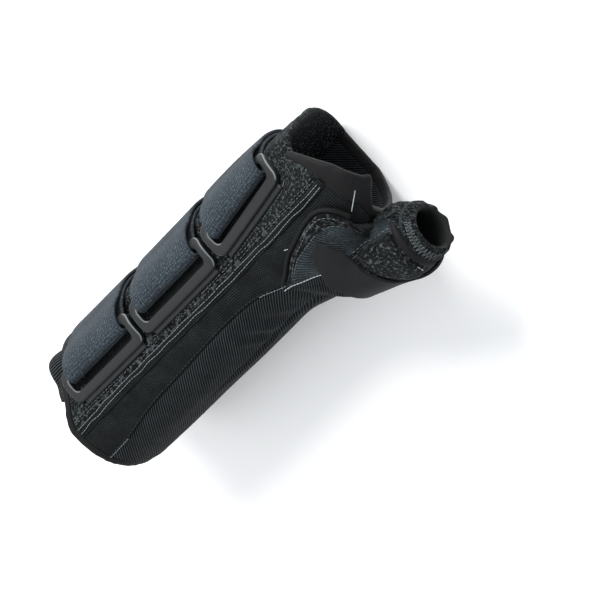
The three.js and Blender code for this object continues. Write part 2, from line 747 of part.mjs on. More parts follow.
// The strap's path in the plane across the bars: under the upper bar, round it and back over it.
function strapPath() {
  const half = STRAP_THICKNESS / 2;
  const barMiddle = BUCKLE_WIDTH - UPPER_BAR / 2;
  const low = GAP * 1.5 + half;
  const barTop = GAP + BUCKLE_RISE + BUCKLE_THICKNESS;
  const high = barTop + GAP + half;
  const outerLow = low + STRAP_THICKNESS + GAP;
  const path = [];
  const INNER_STEPS = 9;
  for (let step = 0; step <= INNER_STEPS; step += 1) {
    path.push({ across: mix(STRAP_INNER_REACH, barMiddle, step / INNER_STEPS), lift: low });
  }
  const bendAcross = UPPER_BAR / 2 + 2 * GAP + half;
  const BEND_STEPS = 6;
  for (let step = 1; step < BEND_STEPS; step += 1) {
    const turn = Math.PI * step / BEND_STEPS;
    path.push({
      across: barMiddle - bendAcross * Math.sin(turn) ** 0.7,
      lift: (low + high) / 2 - (high - low) / 2 * signedPower(Math.cos(turn), 0.8),
    });
  }
  const OUTER_STEPS = 11;
  for (let step = 0; step <= OUTER_STEPS; step += 1) {
    const across = mix(barMiddle, STRAP_OUTER_REACH, step / OUTER_STEPS);
    path.push({ across, lift: mix(high, outerLow, smoothstep(across, barMiddle, STRAP_SETTLE)) });
  }
  return path;
}

function strapSolid(place) {
  const path = strapPath();
  const width = SLOT_LENGTH - 2 * STRAP_CLEARANCE;
  const rings = path.map((here, index) => {
    const before = path[Math.max(index - 1, 0)];
    const after = path[Math.min(index + 1, path.length - 1)];
    const normal = new THREE.Vector2(-(after.lift - before.lift), after.across - before.across);
    normal.normalize().multiplyScalar(STRAP_THICKNESS / 2);
    const toEnd = index > path.length / 2 ? STRAP_OUTER_REACH - here.across : STRAP_END_RADIUS;
    const near = clamp(toEnd / STRAP_END_RADIUS, 0, 1);
    const halfWidth = width / 2 - STRAP_END_RADIUS * (1 - Math.sqrt(1 - (1 - near) ** 2));
    const corner = (along, side) => place(
      along, here.across + side * normal.x, here.lift + side * normal.y);
    return [
      corner(-halfWidth, 1), corner(0, 1), corner(halfWidth, 1),
      corner(halfWidth, -1), corner(0, -1), corner(-halfWidth, -1)];
  });
  return ringSolid(rings, false);
}

function addFastenings() {
  BUCKLE_NAMES.forEach((name, index) => {
    const turn = index === BUCKLE_NAMES.length - 1 ? LAST_BUCKLE_TURN : 0;
    const start = BUCKLE_MARGIN + (BUCKLE_LENGTH + BUCKLE_SPACE) * index;
    const place = bucklePlace(start + BUCKLE_LENGTH / 2, turn);
    addNode(`buckle_${name}`, buckleSolid(place), 'plastic');
    addNode(`strap_${name}`, strapSolid(place), 'webbing');
  });
}

// Thumb sleeve and what is sewn on it

function addThumbSleeve() {
  const CORNERS = 40;
  const SHARES = [0, 0.08, 0.18, 0.3, 0.44, 0.6, GATHER_SHARE, 0.84, 0.92, 1];
  const ring = (share, lift) => Array.from(
    { length: CORNERS }, (_, corner) => sleevePoint(corner / CORNERS, share, lift));
  const tube = ringSolid([
    ...SHARES.map((share) => ring(share, 0)),
    ...SHARES.toReversed().map((share) => ring(share, -THUMB_WALL)),
  ], true);
  addNode('thumb_sleeve', tube, 'loop');
}

function addThumbBinding() {
  const STEPS = 26;
  const SIDES = 8;
  const rings = Array.from({ length: STEPS + 1 }, (_, step) => {
    const turn = mix(BEAD_TURNS.from, BEAD_TURNS.to, step / STEPS);
    const foot = footRing(turn);
    const seat = surfacePoint(foot.x, foot.angle, GAP);
    const outward = surfacePoint(foot.x, foot.angle, GAP + 1).sub(seat);
    const NUDGE = 0.01;
    const before = footRing(turn - NUDGE);
    const after = footRing(turn + NUDGE);
    const along = surfacePoint(after.x, after.angle, GAP).sub(surfacePoint(before.x, before.angle, GAP));
    const away = along.cross(outward).normalize();
    const lean = THUMB_WALL / 2 * Math.sin(rad(foot.rise));
    const centre = seat.addScaledVector(away, -(GAP + BEAD_WIDTH / 2 + lean));
    centre.addScaledVector(outward, BEAD_HEIGHT / 2 + GAP);
    return Array.from({ length: SIDES }, (__, side) => {
      const around = 2 * Math.PI * side / SIDES;
      const point = centre.clone();
      point.addScaledVector(away, BEAD_WIDTH / 2 * Math.cos(around));
      return point.addScaledVector(outward, BEAD_HEIGHT / 2 * Math.sin(around));
    });
  });
  addNode('thumb_base_binding', ringSolid(rings, false), 'binding');
}

// A piece of fabric lying on the sleeve between the two edges of a table.
function sleevePatch(edges, rows, columns, thickness) {
  return patchSolid(rows, columns, (share, across, top) => {
    const turn = mix(edges[0].at, edges.at(-1).at, across);
    const place = mix(tableValue(edges, 'near', turn), tableValue(edges, 'far', turn), share);
    return sleevePoint(turn, place, top ? TRIM_GAP + thickness : TRIM_GAP);
  });
}

function addThumbTrim() {
  addNode('thumb_strap', sleevePatch(THUMB_STRAP_EDGES, 7, 22, THUMB_STRAP_THICKNESS), 'smooth');
  addNode('thumb_patch', sleevePatch(THUMB_PATCH_EDGES, 4, 8, THUMB_PATCH_THICKNESS), 'loop');
  addNode('thumb_rim_band', sleevePatch(RIM_BAND_EDGES, 1, 14, RIM_BAND_THICKNESS), 'smooth');
}

addPaddedPanels();
addSeamTape();
addDorsalSide();
addBindings();
addFastenings();
addThumbSleeve();
addThumbBinding();
addThumbTrim();

// The origin is under the middle of the splint's box, on the surface that it lies on.
const box = new THREE.Box3().setFromObject(splint);
splint.position.set(-(box.min.x + box.max.x) / 2, -(box.min.y + box.max.y) / 2, -box.min.z);

export default splint;
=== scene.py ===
"""Thumb spica splint for a left hand: its fabrics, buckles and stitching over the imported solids.

Sizes and tables are in millimetres, measured from the forearm rim, the arm's middle and the
surface that the splint lies on. Angles round the arm are in degrees: 0 is the thumb side,
90 the back of the hand and -90 the palm side. A lift is a height above the padded shell.
"""

import math

import bmesh
import bpy
import numpy as np
from mathutils import Matrix, Vector


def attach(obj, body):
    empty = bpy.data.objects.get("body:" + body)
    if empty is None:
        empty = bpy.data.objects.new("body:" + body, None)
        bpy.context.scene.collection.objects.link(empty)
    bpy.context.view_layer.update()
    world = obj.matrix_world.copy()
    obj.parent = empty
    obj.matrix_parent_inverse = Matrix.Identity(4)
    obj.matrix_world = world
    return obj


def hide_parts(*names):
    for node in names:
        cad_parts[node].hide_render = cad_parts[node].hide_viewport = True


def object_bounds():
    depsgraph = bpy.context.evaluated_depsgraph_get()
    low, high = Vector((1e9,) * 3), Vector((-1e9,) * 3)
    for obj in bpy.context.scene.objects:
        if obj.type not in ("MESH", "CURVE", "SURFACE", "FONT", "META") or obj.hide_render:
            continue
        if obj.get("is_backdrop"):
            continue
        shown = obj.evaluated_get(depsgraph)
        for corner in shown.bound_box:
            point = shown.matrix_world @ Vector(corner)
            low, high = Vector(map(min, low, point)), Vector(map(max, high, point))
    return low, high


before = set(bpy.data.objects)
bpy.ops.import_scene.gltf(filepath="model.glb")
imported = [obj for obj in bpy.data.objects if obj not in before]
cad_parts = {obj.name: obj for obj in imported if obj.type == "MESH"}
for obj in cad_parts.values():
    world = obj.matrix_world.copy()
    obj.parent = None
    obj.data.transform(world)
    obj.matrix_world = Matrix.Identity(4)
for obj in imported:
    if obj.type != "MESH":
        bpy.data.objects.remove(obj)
CAD_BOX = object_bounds()

# Sizes

MM = 0.001
ORIGIN = np.array([-92.29, 9.58, 0.0])

LENGTH = 184.0
DEPTH = 64.0
HEIGHT = 76.0
ROUNDNESS = 2.3
REST_FLATTENING = 2.5
WALL = 3.5
DORSAL_WALL = 2.5
GAP = 0.3

BINDING_WIDTH = 4.2
PROXIMAL_BINDING_WIDTH = 3.0
CUFF_START = 2.0
CUFF_WIDTH = 12.5
CUFF_PUFF = 4.0
CUFF_LOBES = 4
TAPE_WIDTH = 3.2
TAPE_THICKNESS = 0.8
MESH_STRIP_WIDTH = 3.8
LAP_ANGLE = 30.0
BUCKLE_PANEL_EDGE = 42.0
BUCKLE_PANEL_CORNER = 6.0
BINDING_LAP = 1.2
DORSAL_LEVEL_ANGLE = 64.0
CUFF_FREE_ANGLE = 52.0
DORSAL_SEAM = 160.0
# How far sewn edges run into their seams and under their bindings
SEAM_TUCK = 0.1
BINDING_TUCK = 0.7
# How far the forearm binding's fold stands out past the rim
FOREARM_FOLD = 0.8

BUCKLES = 3
BUCKLE_LENGTH = 46.0
BUCKLE_WIDTH = 14.0
BUCKLE_THICKNESS = 3.0
BUCKLE_SPACE = 2.0
BUCKLE_MARGIN = 15.0
BUCKLE_SEAM_SPACE = 7.2
BUCKLE_RISE = 2.4
BUCKLE_CORNER = 3.5
LAST_BUCKLE_TURN = 5.5
SLOT_LENGTH = 39.0
SLOT_CORNER = 2.0
LOWER_BAR = 4.0
UPPER_BAR = 3.6
FLANGE_WIDTH = 2.2
FLANGE_THICKNESS = 1.2
STRAP_CLEARANCE = 1.0
STRAP_THICKNESS = 1.5
STRAP_OUTER_REACH = 64.0
STRAP_INNER_REACH = 74.0
STRAP_SETTLE = 29.4
STRAP_END_RADIUS = 8.0

THUMB_DIAMETER = 29.5
THUMB_RIM_DIAMETER = 21.5
THUMB_WALL = 2.8
THUMB_REACH = 36.0
THUMB_TURN = 22.9
THUMB_RISE = 10.5
GATHER_LENGTH = 13.0
GATHER_TURN = 5.5
GATHER_RISE = 15.0
GATHER_SHARE = 0.76
SWELL = 8.5
HOLE_SHARE = 0.92
BEAD_WIDTH = 1.9
BEAD_HEIGHT = 2.2
THUMB_STRAP_THICKNESS = 1.2
THUMB_PATCH_THICKNESS = 1.0
RIM_BAND_THICKNESS = 0.9
TRIM_GAP = 0.75

# Rough sizes of the flat cloths, for the spacing of their meshes
PANEL_LENGTH = 168.0
THUMB_PANEL_WIDTH = 15.0
PALM_PANEL_WIDTH = 104.0
SEWN_EDGE = 1.5
BUCKLE_PANEL_WIDTH = 24.0
BACK_PANEL_LENGTH = 150.0
BACK_PANEL_WIDTH = 86.0
BACK_PANEL_EDGE = 1.2
SLEEVE_LENGTH = 46.0
SLEEVE_GIRTH = 92.0
PALM_MM_PER_DEGREE = 0.65


def table(names, *lines):
    """A table with named columns, each of them an array."""
    return dict(zip(names.split(), np.array(lines, float).T))


SECTIONS = table(
    "at centre depth height",
    (0, -0.023, 1, 1),
    (0.27, -0.023, 0.985, 0.96),
    (0.54, -0.016, 0.965, 0.908),
    (0.7, 0, 0.94, 0.908),
    (0.86, 0.02, 0.845, 1),
    (1, 0.06, 0.72, 1.06),
)
FOREARM_RIM = table(
    "at start", (-200, 0), (0, 0), (7, 0.006), (14, 0.02), (20, 0.033), (26, 0.042), (42, 0.047)
)
PALM_RIM = table(
    "at reach band",
    (-200, 0.875, 1),
    (-150, 0.871, 1),
    (-120, 0.88, 1),
    (-90, 0.9, 1),
    (-70, 0.92, 1),
    (-54, 0.937, 1),
    (-43, 0.971, 1.8),
    (-35, 1, 2.8),
    (-28, 0.9935, 2.7),
    (-20, 0.989, 2.6),
    (-10, 0.9815, 2.3),
    (0, 0.971, 1.9),
    (17, 0.944, 1.2),
    (32, 0.919, 1),
    (42, 0.898, 0.9),
)
DORSAL_RIM = table(
    "at reach", (30, 0.885), (55, 0.892), (68, 0.914), (90, 0.92), (125, 0.9), (160, 0.875)
)
SEAMS = table(
    "at tape palm",
    (0, -0.4, -29.5),
    (0.08, 0.2, -28),
    (0.2, 0.8, -22),
    (0.35, 1.2, -19.3),
    (0.52, 1.2, -17.4),
    (0.63, 1.2, -20.5),
    (0.7, 1.2, -30),
    (0.79, 1.2, -40),
    (0.88, 1, -50),
    (1, 0, -58),
)
SWELL_PLACE = {"along": 0.76, "around": -68, "half_length": 0.2, "half_angle": 50}
THUMB_BASE = np.array([LENGTH * 0.744, DEPTH * -0.358, HEIGHT * 0.605])
FOOT = table(
    "along around rim rise",
    (0.658, -31, -20, 5),
    (0.696, -23, 2, 4),
    (0.739, -15.8, 22, 3),
    (0.788, -12.3, 40, 3),
    (0.834, -9.8, 55, 3),
    (0.872, -12, 68, 4),
    (0.893, -22, 80, 8),
    (0.896, -37, 92, 16),
    (0.886, -56, 108, 28),
    (0.868, -74, 130, 38),
    (0.835, -89, 158, 42),
    (0.788, -96, 190, 40),
    (0.742, -93, 222, 34),
    (0.712, -80, 254, 26),
    (0.696, -63, 284, 18),
    (0.676, -46, 313, 10),
)
BEAD_TURNS = (0.015, 0.42)
THUMB_STRAP_EDGES = table(
    "at near far",
    (-0.42, 0.42, 0.88),
    (-0.25, 0.3, 0.88),
    (-0.14, 0.27, 0.82),
    (-0.09, 0.27, 0.65),
    (-0.03, 0.29, 0.58),
    (0.03, 0.285, 0.53),
    (0.08, 0.24, 0.48),
    (0.13, 0.2, 0.43),
    (0.18, 0.165, 0.37),
    (0.22, 0.16, 0.25),
)
THUMB_PATCH_EDGES = table(
    "at near far",
    (-0.1, 0.76, 0.81),
    (-0.07, 0.67, 0.835),
    (-0.04, 0.625, 0.835),
    (0, 0.59, 0.825),
    (0.05, 0.545, 0.81),
    (0.1, 0.5, 0.79),
    (0.13, 0.57, 0.785),
    (0.15, 0.7, 0.78),
)
# Edges of the mesh strip beside the rolled edge, and the stitched seam that runs up the palm side
MESH_EDGE = table(
    "at far", (-0.5, 0), (0.0, 0), (0.02, 0.02), (0.03, 0.03), (0.13, 0.055), (0.21, 0.1),
    (0.275, 0.158), (0.34, 0.19), (0.38, 0.24), (0.44, 0.3), (0.5, 0.3))
MESH_SIDE = table(
    "at turn", (0, 0.5), (0.2, 0.4), (0.33, 0.4), (0.45, 0.355), (0.57, 0.305), (0.7, 0.245),
    (0.77, 0.215), (0.84, 0.2), (1, 0.2))
PALM_STITCHES = table("at turn", (0, 0.015), (0.04, 0.022), (0.145, 0.032), (0.238, 0.049), (0.32, 0.055))
RIM_BAND_EDGES = table(
    "at near far",
    (-0.1, 0.875, 0.915),
    (-0.04, 0.865, 0.905),
    (0, 0.85, 0.89),
    (0.05, 0.835, 0.88),
    (0.1, 0.815, 0.865),
    (0.15, 0.8, 0.845),
    (0.19, 0.79, 0.83),
)


# Small mathematics

def signed_power(value, power):
    return np.sign(value) * np.abs(value) ** power


def ease(value, low, high):
    share = np.clip((np.asarray(value, float) - low) / (high - low), 0, 1)
    return share * share * (3 - 2 * share)


def mix(low, high, share):
    return low + (high - low) * share


def unit(vectors):
    return vectors / np.maximum(np.linalg.norm(vectors, axis=-1, keepdims=True), 1e-12)


def value(rows, name, at):
    """A column of a table at any place, on a smooth curve through its rows."""
    at = np.asarray(at, float)
    places = rows["at"]
    column = rows[name]
    slopes = np.empty_like(column)
    slopes[1:-1] = (column[2:] - column[:-2]) / (places[2:] - places[:-2])
    slopes[0] = (column[1] - column[0]) / (places[1] - places[0])
    slopes[-1] = (column[-1] - column[-2]) / (places[-1] - places[-2])
    row = np.searchsorted(places[1:-1], at)
    span = places[row + 1] - places[row]
    share = np.clip((at - places[row]) / span, 0, 1)
    smooth = mix(column[row], column[row + 1], share * share * (3 - 2 * share))
    leave = share * (1 - share) ** 2 * slopes[row] * span
    arrive = share * share * (share - 1) * slopes[row + 1] * span
    return smooth + leave + arrive


def folds(along, around, size, seed):
    """Smooth random unevenness of about -1 to 1, with bumps of the given size in millimetres."""
    lattice = np.random.default_rng(seed).uniform(-1, 1, (64, 64))
    u, v = np.broadcast_arrays(
        np.asarray(along, float) / size[0] + 20.0, np.asarray(around, float) / size[1] + 20.0)
    row, column = np.floor(u).astype(int), np.floor(v).astype(int)
    s, t = ease(u - row, 0, 1), ease(v - column, 0, 1)
    corner = lambda r, c: lattice[(row + r) % 64, (column + c) % 64]
    near = mix(corner(0, 0), corner(0, 1), t)
    far = mix(corner(1, 0), corner(1, 1), t)
    return mix(near, far, s)


# Padded shell

def swell(x, angle):
    along = np.clip((x / LENGTH - SWELL_PLACE["along"]) / SWELL_PLACE["half_length"], -1, 1)
    around = np.clip((angle - SWELL_PLACE["around"]) / SWELL_PLACE["half_angle"], -1, 1)
    return SWELL * (np.cos(along * np.pi / 2) * np.cos(around * np.pi / 2)) ** 2


def surface(x, angle, lift=0.0):
    """Points on the shell, at a height above its outer face."""
    x, angle, lift = np.broadcast_arrays(*(np.asarray(a, float) for a in (x, angle, lift)))
    half_depth = DEPTH / 2 * value(SECTIONS, "depth", x / LENGTH)
    half_height = HEIGHT / 2 * value(SECTIONS, "height", x / LENGTH)
    centre = DEPTH * value(SECTIONS, "centre", x / LENGTH)
    sine = np.sin(np.radians(angle))
    cosine = np.cos(np.radians(angle))
    power = 2 / ROUNDNESS
    out_y = signed_power(sine, 2 - power) / half_depth
    out_z = signed_power(cosine, 2 - power) / half_height
    rise = (lift + swell(x, angle)) / np.hypot(out_y, out_z)
    y = centre + half_depth * signed_power(sine, power) + rise * out_y
    z = half_height - REST_FLATTENING + half_height * signed_power(cosine, power) + rise * out_z
    return np.stack([x, y, np.maximum(z, np.maximum(-lift, 0))], -1)


def degrees_for(length):
    return np.degrees(length / ((DEPTH + HEIGHT) / 4))


def palm_rim(angle):
    return LENGTH * value(PALM_RIM, "reach", angle)


def palm_band(angle):
    return BINDING_WIDTH * value(PALM_RIM, "band", angle)


def forearm_rim(angle):
    return LENGTH * value(FOREARM_RIM, "start", angle)


def panel_x(share, angle):
    start = forearm_rim(angle) + PROXIMAL_BINDING_WIDTH + GAP
    return mix(start, palm_rim(angle) - palm_band(angle) - GAP, share)


def tape_seam(share):
    return value(SEAMS, "tape", share)


def palm_seam(share):
    return value(SEAMS, "palm", share)


def dorsal_lift(angle):
    start = BUCKLE_PANEL_EDGE + degrees_for(BINDING_LAP)
    return -(WALL + GAP) * (1 - ease(angle, start, DORSAL_LEVEL_ANGLE))


# Lengths round the shell, so that a buckle's flat pattern can be laid on it
ARC_X = np.arange(0, LENGTH + 3, 3.0)
ARC_ANGLES = np.arange(-12, 216, 0.5)
ARC_STEP = 0.5
ARC_POINTS = surface(ARC_X[:, None], ARC_ANGLES[None, :])
ARC_LENGTHS = np.concatenate([
    np.zeros((len(ARC_X), 1)),
    np.cumsum(np.linalg.norm(np.diff(ARC_POINTS, axis=1), axis=2), axis=1)], axis=1)
ARC_INVERSE = np.stack([
    np.interp(np.arange(0, 190, ARC_STEP), lengths, ARC_ANGLES) for lengths in ARC_LENGTHS])


def lookup(grid, row, column):
    row = np.clip(row, 0, grid.shape[0] - 1.001)
    column = np.clip(column, 0, grid.shape[1] - 1.001)
    r, c = np.floor(row).astype(int), np.floor(column).astype(int)
    s, t = row - r, column - c
    near = mix(grid[r, c], grid[r, c + 1], t)
    return mix(near, mix(grid[r + 1, c], grid[r + 1, c + 1], t), s)


def angle_after(x, start, length):
    """The angle reached by going a length round the shell from a starting angle."""
    row = x / (ARC_X[1] - ARC_X[0])
    from_start = lookup(ARC_LENGTHS, row, (start - ARC_ANGLES[0]) / (ARC_ANGLES[1] - ARC_ANGLES[0]))
    return lookup(ARC_INVERSE, row, (from_start + length) / ARC_STEP)


# Thumb sleeve

FOOT_ROWS = {
    "at": np.concatenate([np.arange(16) / 16 + turn for turn in (-1, 0, 1)]),
    "rim": np.concatenate([FOOT["rim"] + 360 * turn for turn in (-1, 0, 1)]),
    **{name: np.tile(FOOT[name], 3) for name in ("along", "around", "rise")},
}
FOOT_CENTRE = (LENGTH * FOOT["along"].mean(), FOOT["around"].mean())


def foot(turn):
    along, around, rim, rise = (value(FOOT_ROWS, name, turn) for name in ("along", "around", "rim", "rise"))
    return LENGTH * along, around, rim, rise


def direction(turn, rise):
    turn, rise = math.radians(turn), math.radians(rise)
    return np.array([
        math.cos(rise) * math.cos(turn), -math.cos(rise) * math.sin(turn), math.sin(rise)])


def sleeve_ring(middle, axis, diameter):
    up = unit(np.array([0, 0, 1.0]) - axis * axis[2])
    return {"middle": middle, "up": up, "side": np.cross(up, axis), "radius": (diameter - THUMB_WALL) / 2}


GATHER_AXIS = direction(THUMB_TURN, THUMB_RISE)
GATHER_RING = sleeve_ring(THUMB_BASE + GATHER_AXIS * THUMB_REACH, GATHER_AXIS, THUMB_DIAMETER)
RIM_AXIS = direction(GATHER_TURN, GATHER_RISE)
RIM_RING = sleeve_ring(
    GATHER_RING["middle"] + unit(GATHER_AXIS + RIM_AXIS) * GATHER_LENGTH, RIM_AXIS, THUMB_RIM_DIAMETER)


def ring_point(ring, angle):
    angle = np.radians(angle)[..., None]
    return ring["middle"] + ring["radius"] * (ring["up"] * np.cos(angle) + ring["side"] * np.sin(angle))


def smooth_line(start, leave, end, arrive, share):
    """A smooth line between two points, with the directions that it leaves and arrives in."""
    share = share[..., None]
    span = np.linalg.norm(end - start, axis=-1, keepdims=True)
    point = mix(start, end, share * share * (3 - 2 * share))
    return point + span * (leave * share * (1 - share) ** 2 + arrive * share * share * (share - 1))


def sleeve_line(turn, share):
    x, around, rim, rise = foot(turn)
    gathered = ring_point(GATHER_RING, rim)
    past = np.clip((share - GATHER_SHARE) / (1 - GATHER_SHARE), 0, None)
    beyond = smooth_line(gathered, GATHER_AXIS, ring_point(RIM_RING, rim), RIM_AXIS, past)
    seat = GAP + THUMB_WALL / 2
    start = surface(x, around, seat)
    inward_share = 0.12
    inward = unit(surface(
        mix(x, FOOT_CENTRE[0], inward_share), mix(around, FOOT_CENTRE[1], inward_share), seat) - start)
    outward = surface(x, around, seat + 1) - start
    rise = np.radians(rise)[..., None]
    flare_pull = 0.75
    leave = flare_pull * (inward * np.cos(rise) + outward * np.sin(rise))
    before = smooth_line(start, leave, gathered, GATHER_AXIS, share / GATHER_SHARE)
    return np.where((share > GATHER_SHARE)[..., None], beyond, before)


def place_on_shell(point):
    """How far along the shell a point is, and its angle round it."""
    x = np.minimum(point[..., 0], LENGTH)
    half_height = HEIGHT / 2 * value(SECTIONS, "height", x / LENGTH)
    half_depth = DEPTH / 2 * value(SECTIONS, "depth", x / LENGTH)
    across = (point[..., 1] - DEPTH * value(SECTIONS, "centre", x / LENGTH)) / half_depth
    up = (point[..., 2] - half_height + REST_FLATTENING) / half_height
    return x, np.degrees(np.arctan2(
        signed_power(across, ROUNDNESS / 2), signed_power(up, ROUNDNESS / 2)))


def clear_of_shell(point):
    """Lifts points of the sleeve that would run through the shell, so that they lie on it."""
    softness = 2.0
    x, angle = place_on_shell(point)
    seat = surface(x, angle)
    outward = unit(surface(x, angle, 1.0) - seat)
    over = ((point - seat) * outward).sum(-1) - (2 * GAP + THUMB_WALL / 2)
    raised = np.where(over < -softness, -over, (softness - over) ** 2 / (4 * softness))
    idle = (over > softness) | (over < -DEPTH / 2) | (point[..., 0] > LENGTH)
    return point + outward * np.where(idle, 0, raised)[..., None]


def sleeve_middle(turn, share):
    turn, share = np.broadcast_arrays(np.asarray(turn, float), np.asarray(share, float))
    return clear_of_shell(sleeve_line(turn, share))


def sleeve(turn, share, lift=0.0):
    """Points on the thumb sleeve, at a height above its outer face."""
    nudge = 0.004
    turn, share, lift = np.broadcast_arrays(*(np.asarray(a, float) for a in (turn, share, lift)))
    along = sleeve_middle(turn, share + nudge) - sleeve_middle(turn, share - nudge)
    around = sleeve_middle(turn + nudge, share) - sleeve_middle(turn - nudge, share)
    outward = unit(np.cross(along, around))
    return sleeve_middle(turn, share) + outward * (THUMB_WALL / 2 + lift)[..., None]


# Materials

def linear(hexadecimal):
    """An sRGB hex colour as linear red, green, blue and alpha."""
    channels = [int(hexadecimal[i:i + 2], 16) / 255 for i in (0, 2, 4)]
    return [c / 12.92 if c <= 0.04045 else ((c + 0.055) / 1.055) ** 2.4 for c in channels] + [1.0]


def add_node(tree, kind, inputs=None, output=None, **settings):
    """A node with its settings, and its inputs set to values or linked from other sockets.

    It gives the node, or the output that is named.
    """
    node = tree.nodes.new(kind)
    for name, setting in settings.items():
        setattr(node, name, setting)
    for name, given in (inputs or {}).items():
        if isinstance(given, bpy.types.NodeSocket):
            tree.links.new(given, node.inputs[name])
        else:
            node.inputs[name].default_value = given
    return node.outputs[output] if output else node


def new_material(name, roughness, sheen=0.0, specular=0.12):
    material = bpy.data.materials.new(name)
    material.use_nodes = True
    tree = material.node_tree
    tree.nodes.clear()
    shader = add_node(tree, "ShaderNodeBsdfPrincipled", {
        "Roughness": roughness, "Sheen Weight": sheen, "Sheen Roughness": 0.5,
        "Specular IOR Level": specular})
    output = add_node(tree, "ShaderNodeOutputMaterial")
    tree.links.new(shader.outputs["BSDF"], output.inputs["Surface"])
    return material, tree, shader


def cloth_place(tree, turn=0.0):
    """Millimetres on the cloth, turned by degrees."""
    uv = add_node(tree, "ShaderNodeUVMap", output="UV", uv_map="cloth")
    return add_node(tree, "ShaderNodeMapping", {
        "Vector": uv, "Rotation": (0, 0, math.radians(turn))}, "Vector")


def rows_each(pitch):
    """The scale at which a wave pattern has one row of threads for each pitch in millimetres."""
    return math.pi / 10 / pitch


def blend(tree, *parts):
    """The sum of some patterns, each with its weight."""
    total = 0.0
    for pattern, weight in parts:
        total = add_node(
            tree, "ShaderNodeMath", {0: pattern, 1: weight, 2: total}, "Value", operation="MULTIPLY_ADD")
    return total


def colour_and_raise(tree, shader, tone, colours, height=None, depth=0.0, strength=1.0):
    """Colours a finish from dark to light by its tone, and raises it by a depth in millimetres."""
    dye = add_node(tree, "ShaderNodeValToRGB", {"Fac": tone})
    stops = dye.color_ramp.elements
    while len(stops) < len(colours):
        stops.new(0.5)
    for stop, (place, colour) in zip(stops, colours):
        stop.position = place
        stop.color = linear(colour)
    tree.links.new(dye.outputs["Color"], shader.inputs["Base Color"])
    if height:
        raised = add_node(tree, "ShaderNodeBump", {
            "Height": height, "Distance": depth * MM, "Strength": strength}, "Normal")
        tree.links.new(raised, shader.inputs["Normal"])


def woven_nylon():
    """Tight plain-woven nylon: a fine grid of threads, nearly black with a green-grey bloom.

    Its threads are about 0.4 mm apart, drawn at 1 mm so that the grid shows.
    """
    material, tree, shader = new_material("woven_nylon", 0.8, sheen=0.02)
    place = cloth_place(tree)
    threads = {"Vector": place, "Scale": rows_each(1.0), "Distortion": 1.2, "Detail": 1.0}
    warp = add_node(tree, "ShaderNodeTexWave", threads, "Fac", bands_direction="X")
    weft = add_node(tree, "ShaderNodeTexWave", threads, "Fac", bands_direction="Y")
    weave = add_node(tree, "ShaderNodeMath", {0: warp, 1: weft}, "Value", operation="MULTIPLY")
    bloom = add_node(tree, "ShaderNodeTexNoise", {
        "Vector": place, "Scale": 0.07, "Detail": 5.0, "Roughness": 0.7}, "Fac")
    lint = add_node(tree, "ShaderNodeTexNoise", {
        "Vector": place, "Scale": 1.0, "Detail": 4.0, "Roughness": 0.8}, "Fac")
    tone = blend(tree, (weave, 0.36), (bloom, 0.65), (lint, 0.3))
    colours = (0.42, "030405"), (0.65, "101413"), (0.95, "31383a")
    colour_and_raise(tree, shader, tone, colours, weave, 0.16, 0.9)
    return material


def ribbed_knit():
    """Stretch knit with raised diagonal ribs 1.05 mm apart, grey on top and black between."""
    material, tree, shader = new_material("ribbed_knit", 0.88, sheen=0.02)
    ribs = add_node(tree, "ShaderNodeTexWave", {
        "Vector": cloth_place(tree, turn=45), "Scale": rows_each(1.05), "Distortion": 0.8,
        "Detail": 1.0}, "Fac")
    place = cloth_place(tree)
    uneven = add_node(tree, "ShaderNodeTexNoise", {
        "Vector": place, "Scale": 0.12, "Detail": 3.0, "Roughness": 0.6}, "Fac")
    lint = add_node(tree, "ShaderNodeTexNoise", {
        "Vector": place, "Scale": 1.2, "Detail": 4.0, "Roughness": 0.8}, "Fac")
    tone = blend(tree, (ribs, 0.6), (uneven, 0.25), (lint, 0.3))
    colours = (0.36, "010101"), (0.64, "0c0e0f"), (0.96, "3f464a")
    colour_and_raise(tree, shader, tone, colours, ribs, 0.42)
    return material


def loop_laminate():
    """Foam laminate faced with brushed loops: bumpy, fuzzy and matt, with pale flecks."""
    material, tree, shader = new_material("loop_laminate", 0.95, sheen=0.04)
    place = cloth_place(tree)
    loops = add_node(tree, "ShaderNodeTexVoronoi", {
        "Vector": place, "Scale": 1.0, "Randomness": 1.0}, "Distance")
    flecks = add_node(tree, "ShaderNodeTexNoise", {
        "Vector": place, "Scale": 0.75, "Detail": 5.0, "Roughness": 0.85}, "Fac")
    tone = blend(tree, (loops, 0.3), (flecks, 0.8))
    colours = (0.47, "020303"), (0.58, "0d1011"), (0.72, "4c5456")
    colour_and_raise(tree, shader, tone, colours, tone, 0.7)
    return material


def spacer_mesh():
    """Knitted spacer mesh: raised loops round dark holes, about 1.7 mm apart, like a coarse crust."""
    material, tree, shader = new_material("spacer_mesh", 0.9, sheen=0.03)
    place = cloth_place(tree)
    holes = add_node(tree, "ShaderNodeTexVoronoi", {
        "Vector": place, "Scale": 0.6, "Randomness": 0.9}, "Distance")
    flecks = add_node(tree, "ShaderNodeTexNoise", {
        "Vector": place, "Scale": 0.9, "Detail": 5.0, "Roughness": 0.85}, "Fac")
    tone = blend(tree, (holes, 0.55), (flecks, 0.55))
    colours = (0.44, "020202"), (0.58, "0d0f10"), (0.78, "454c4e")
    colour_and_raise(tree, shader, tone, colours, tone, 0.8)
    return material


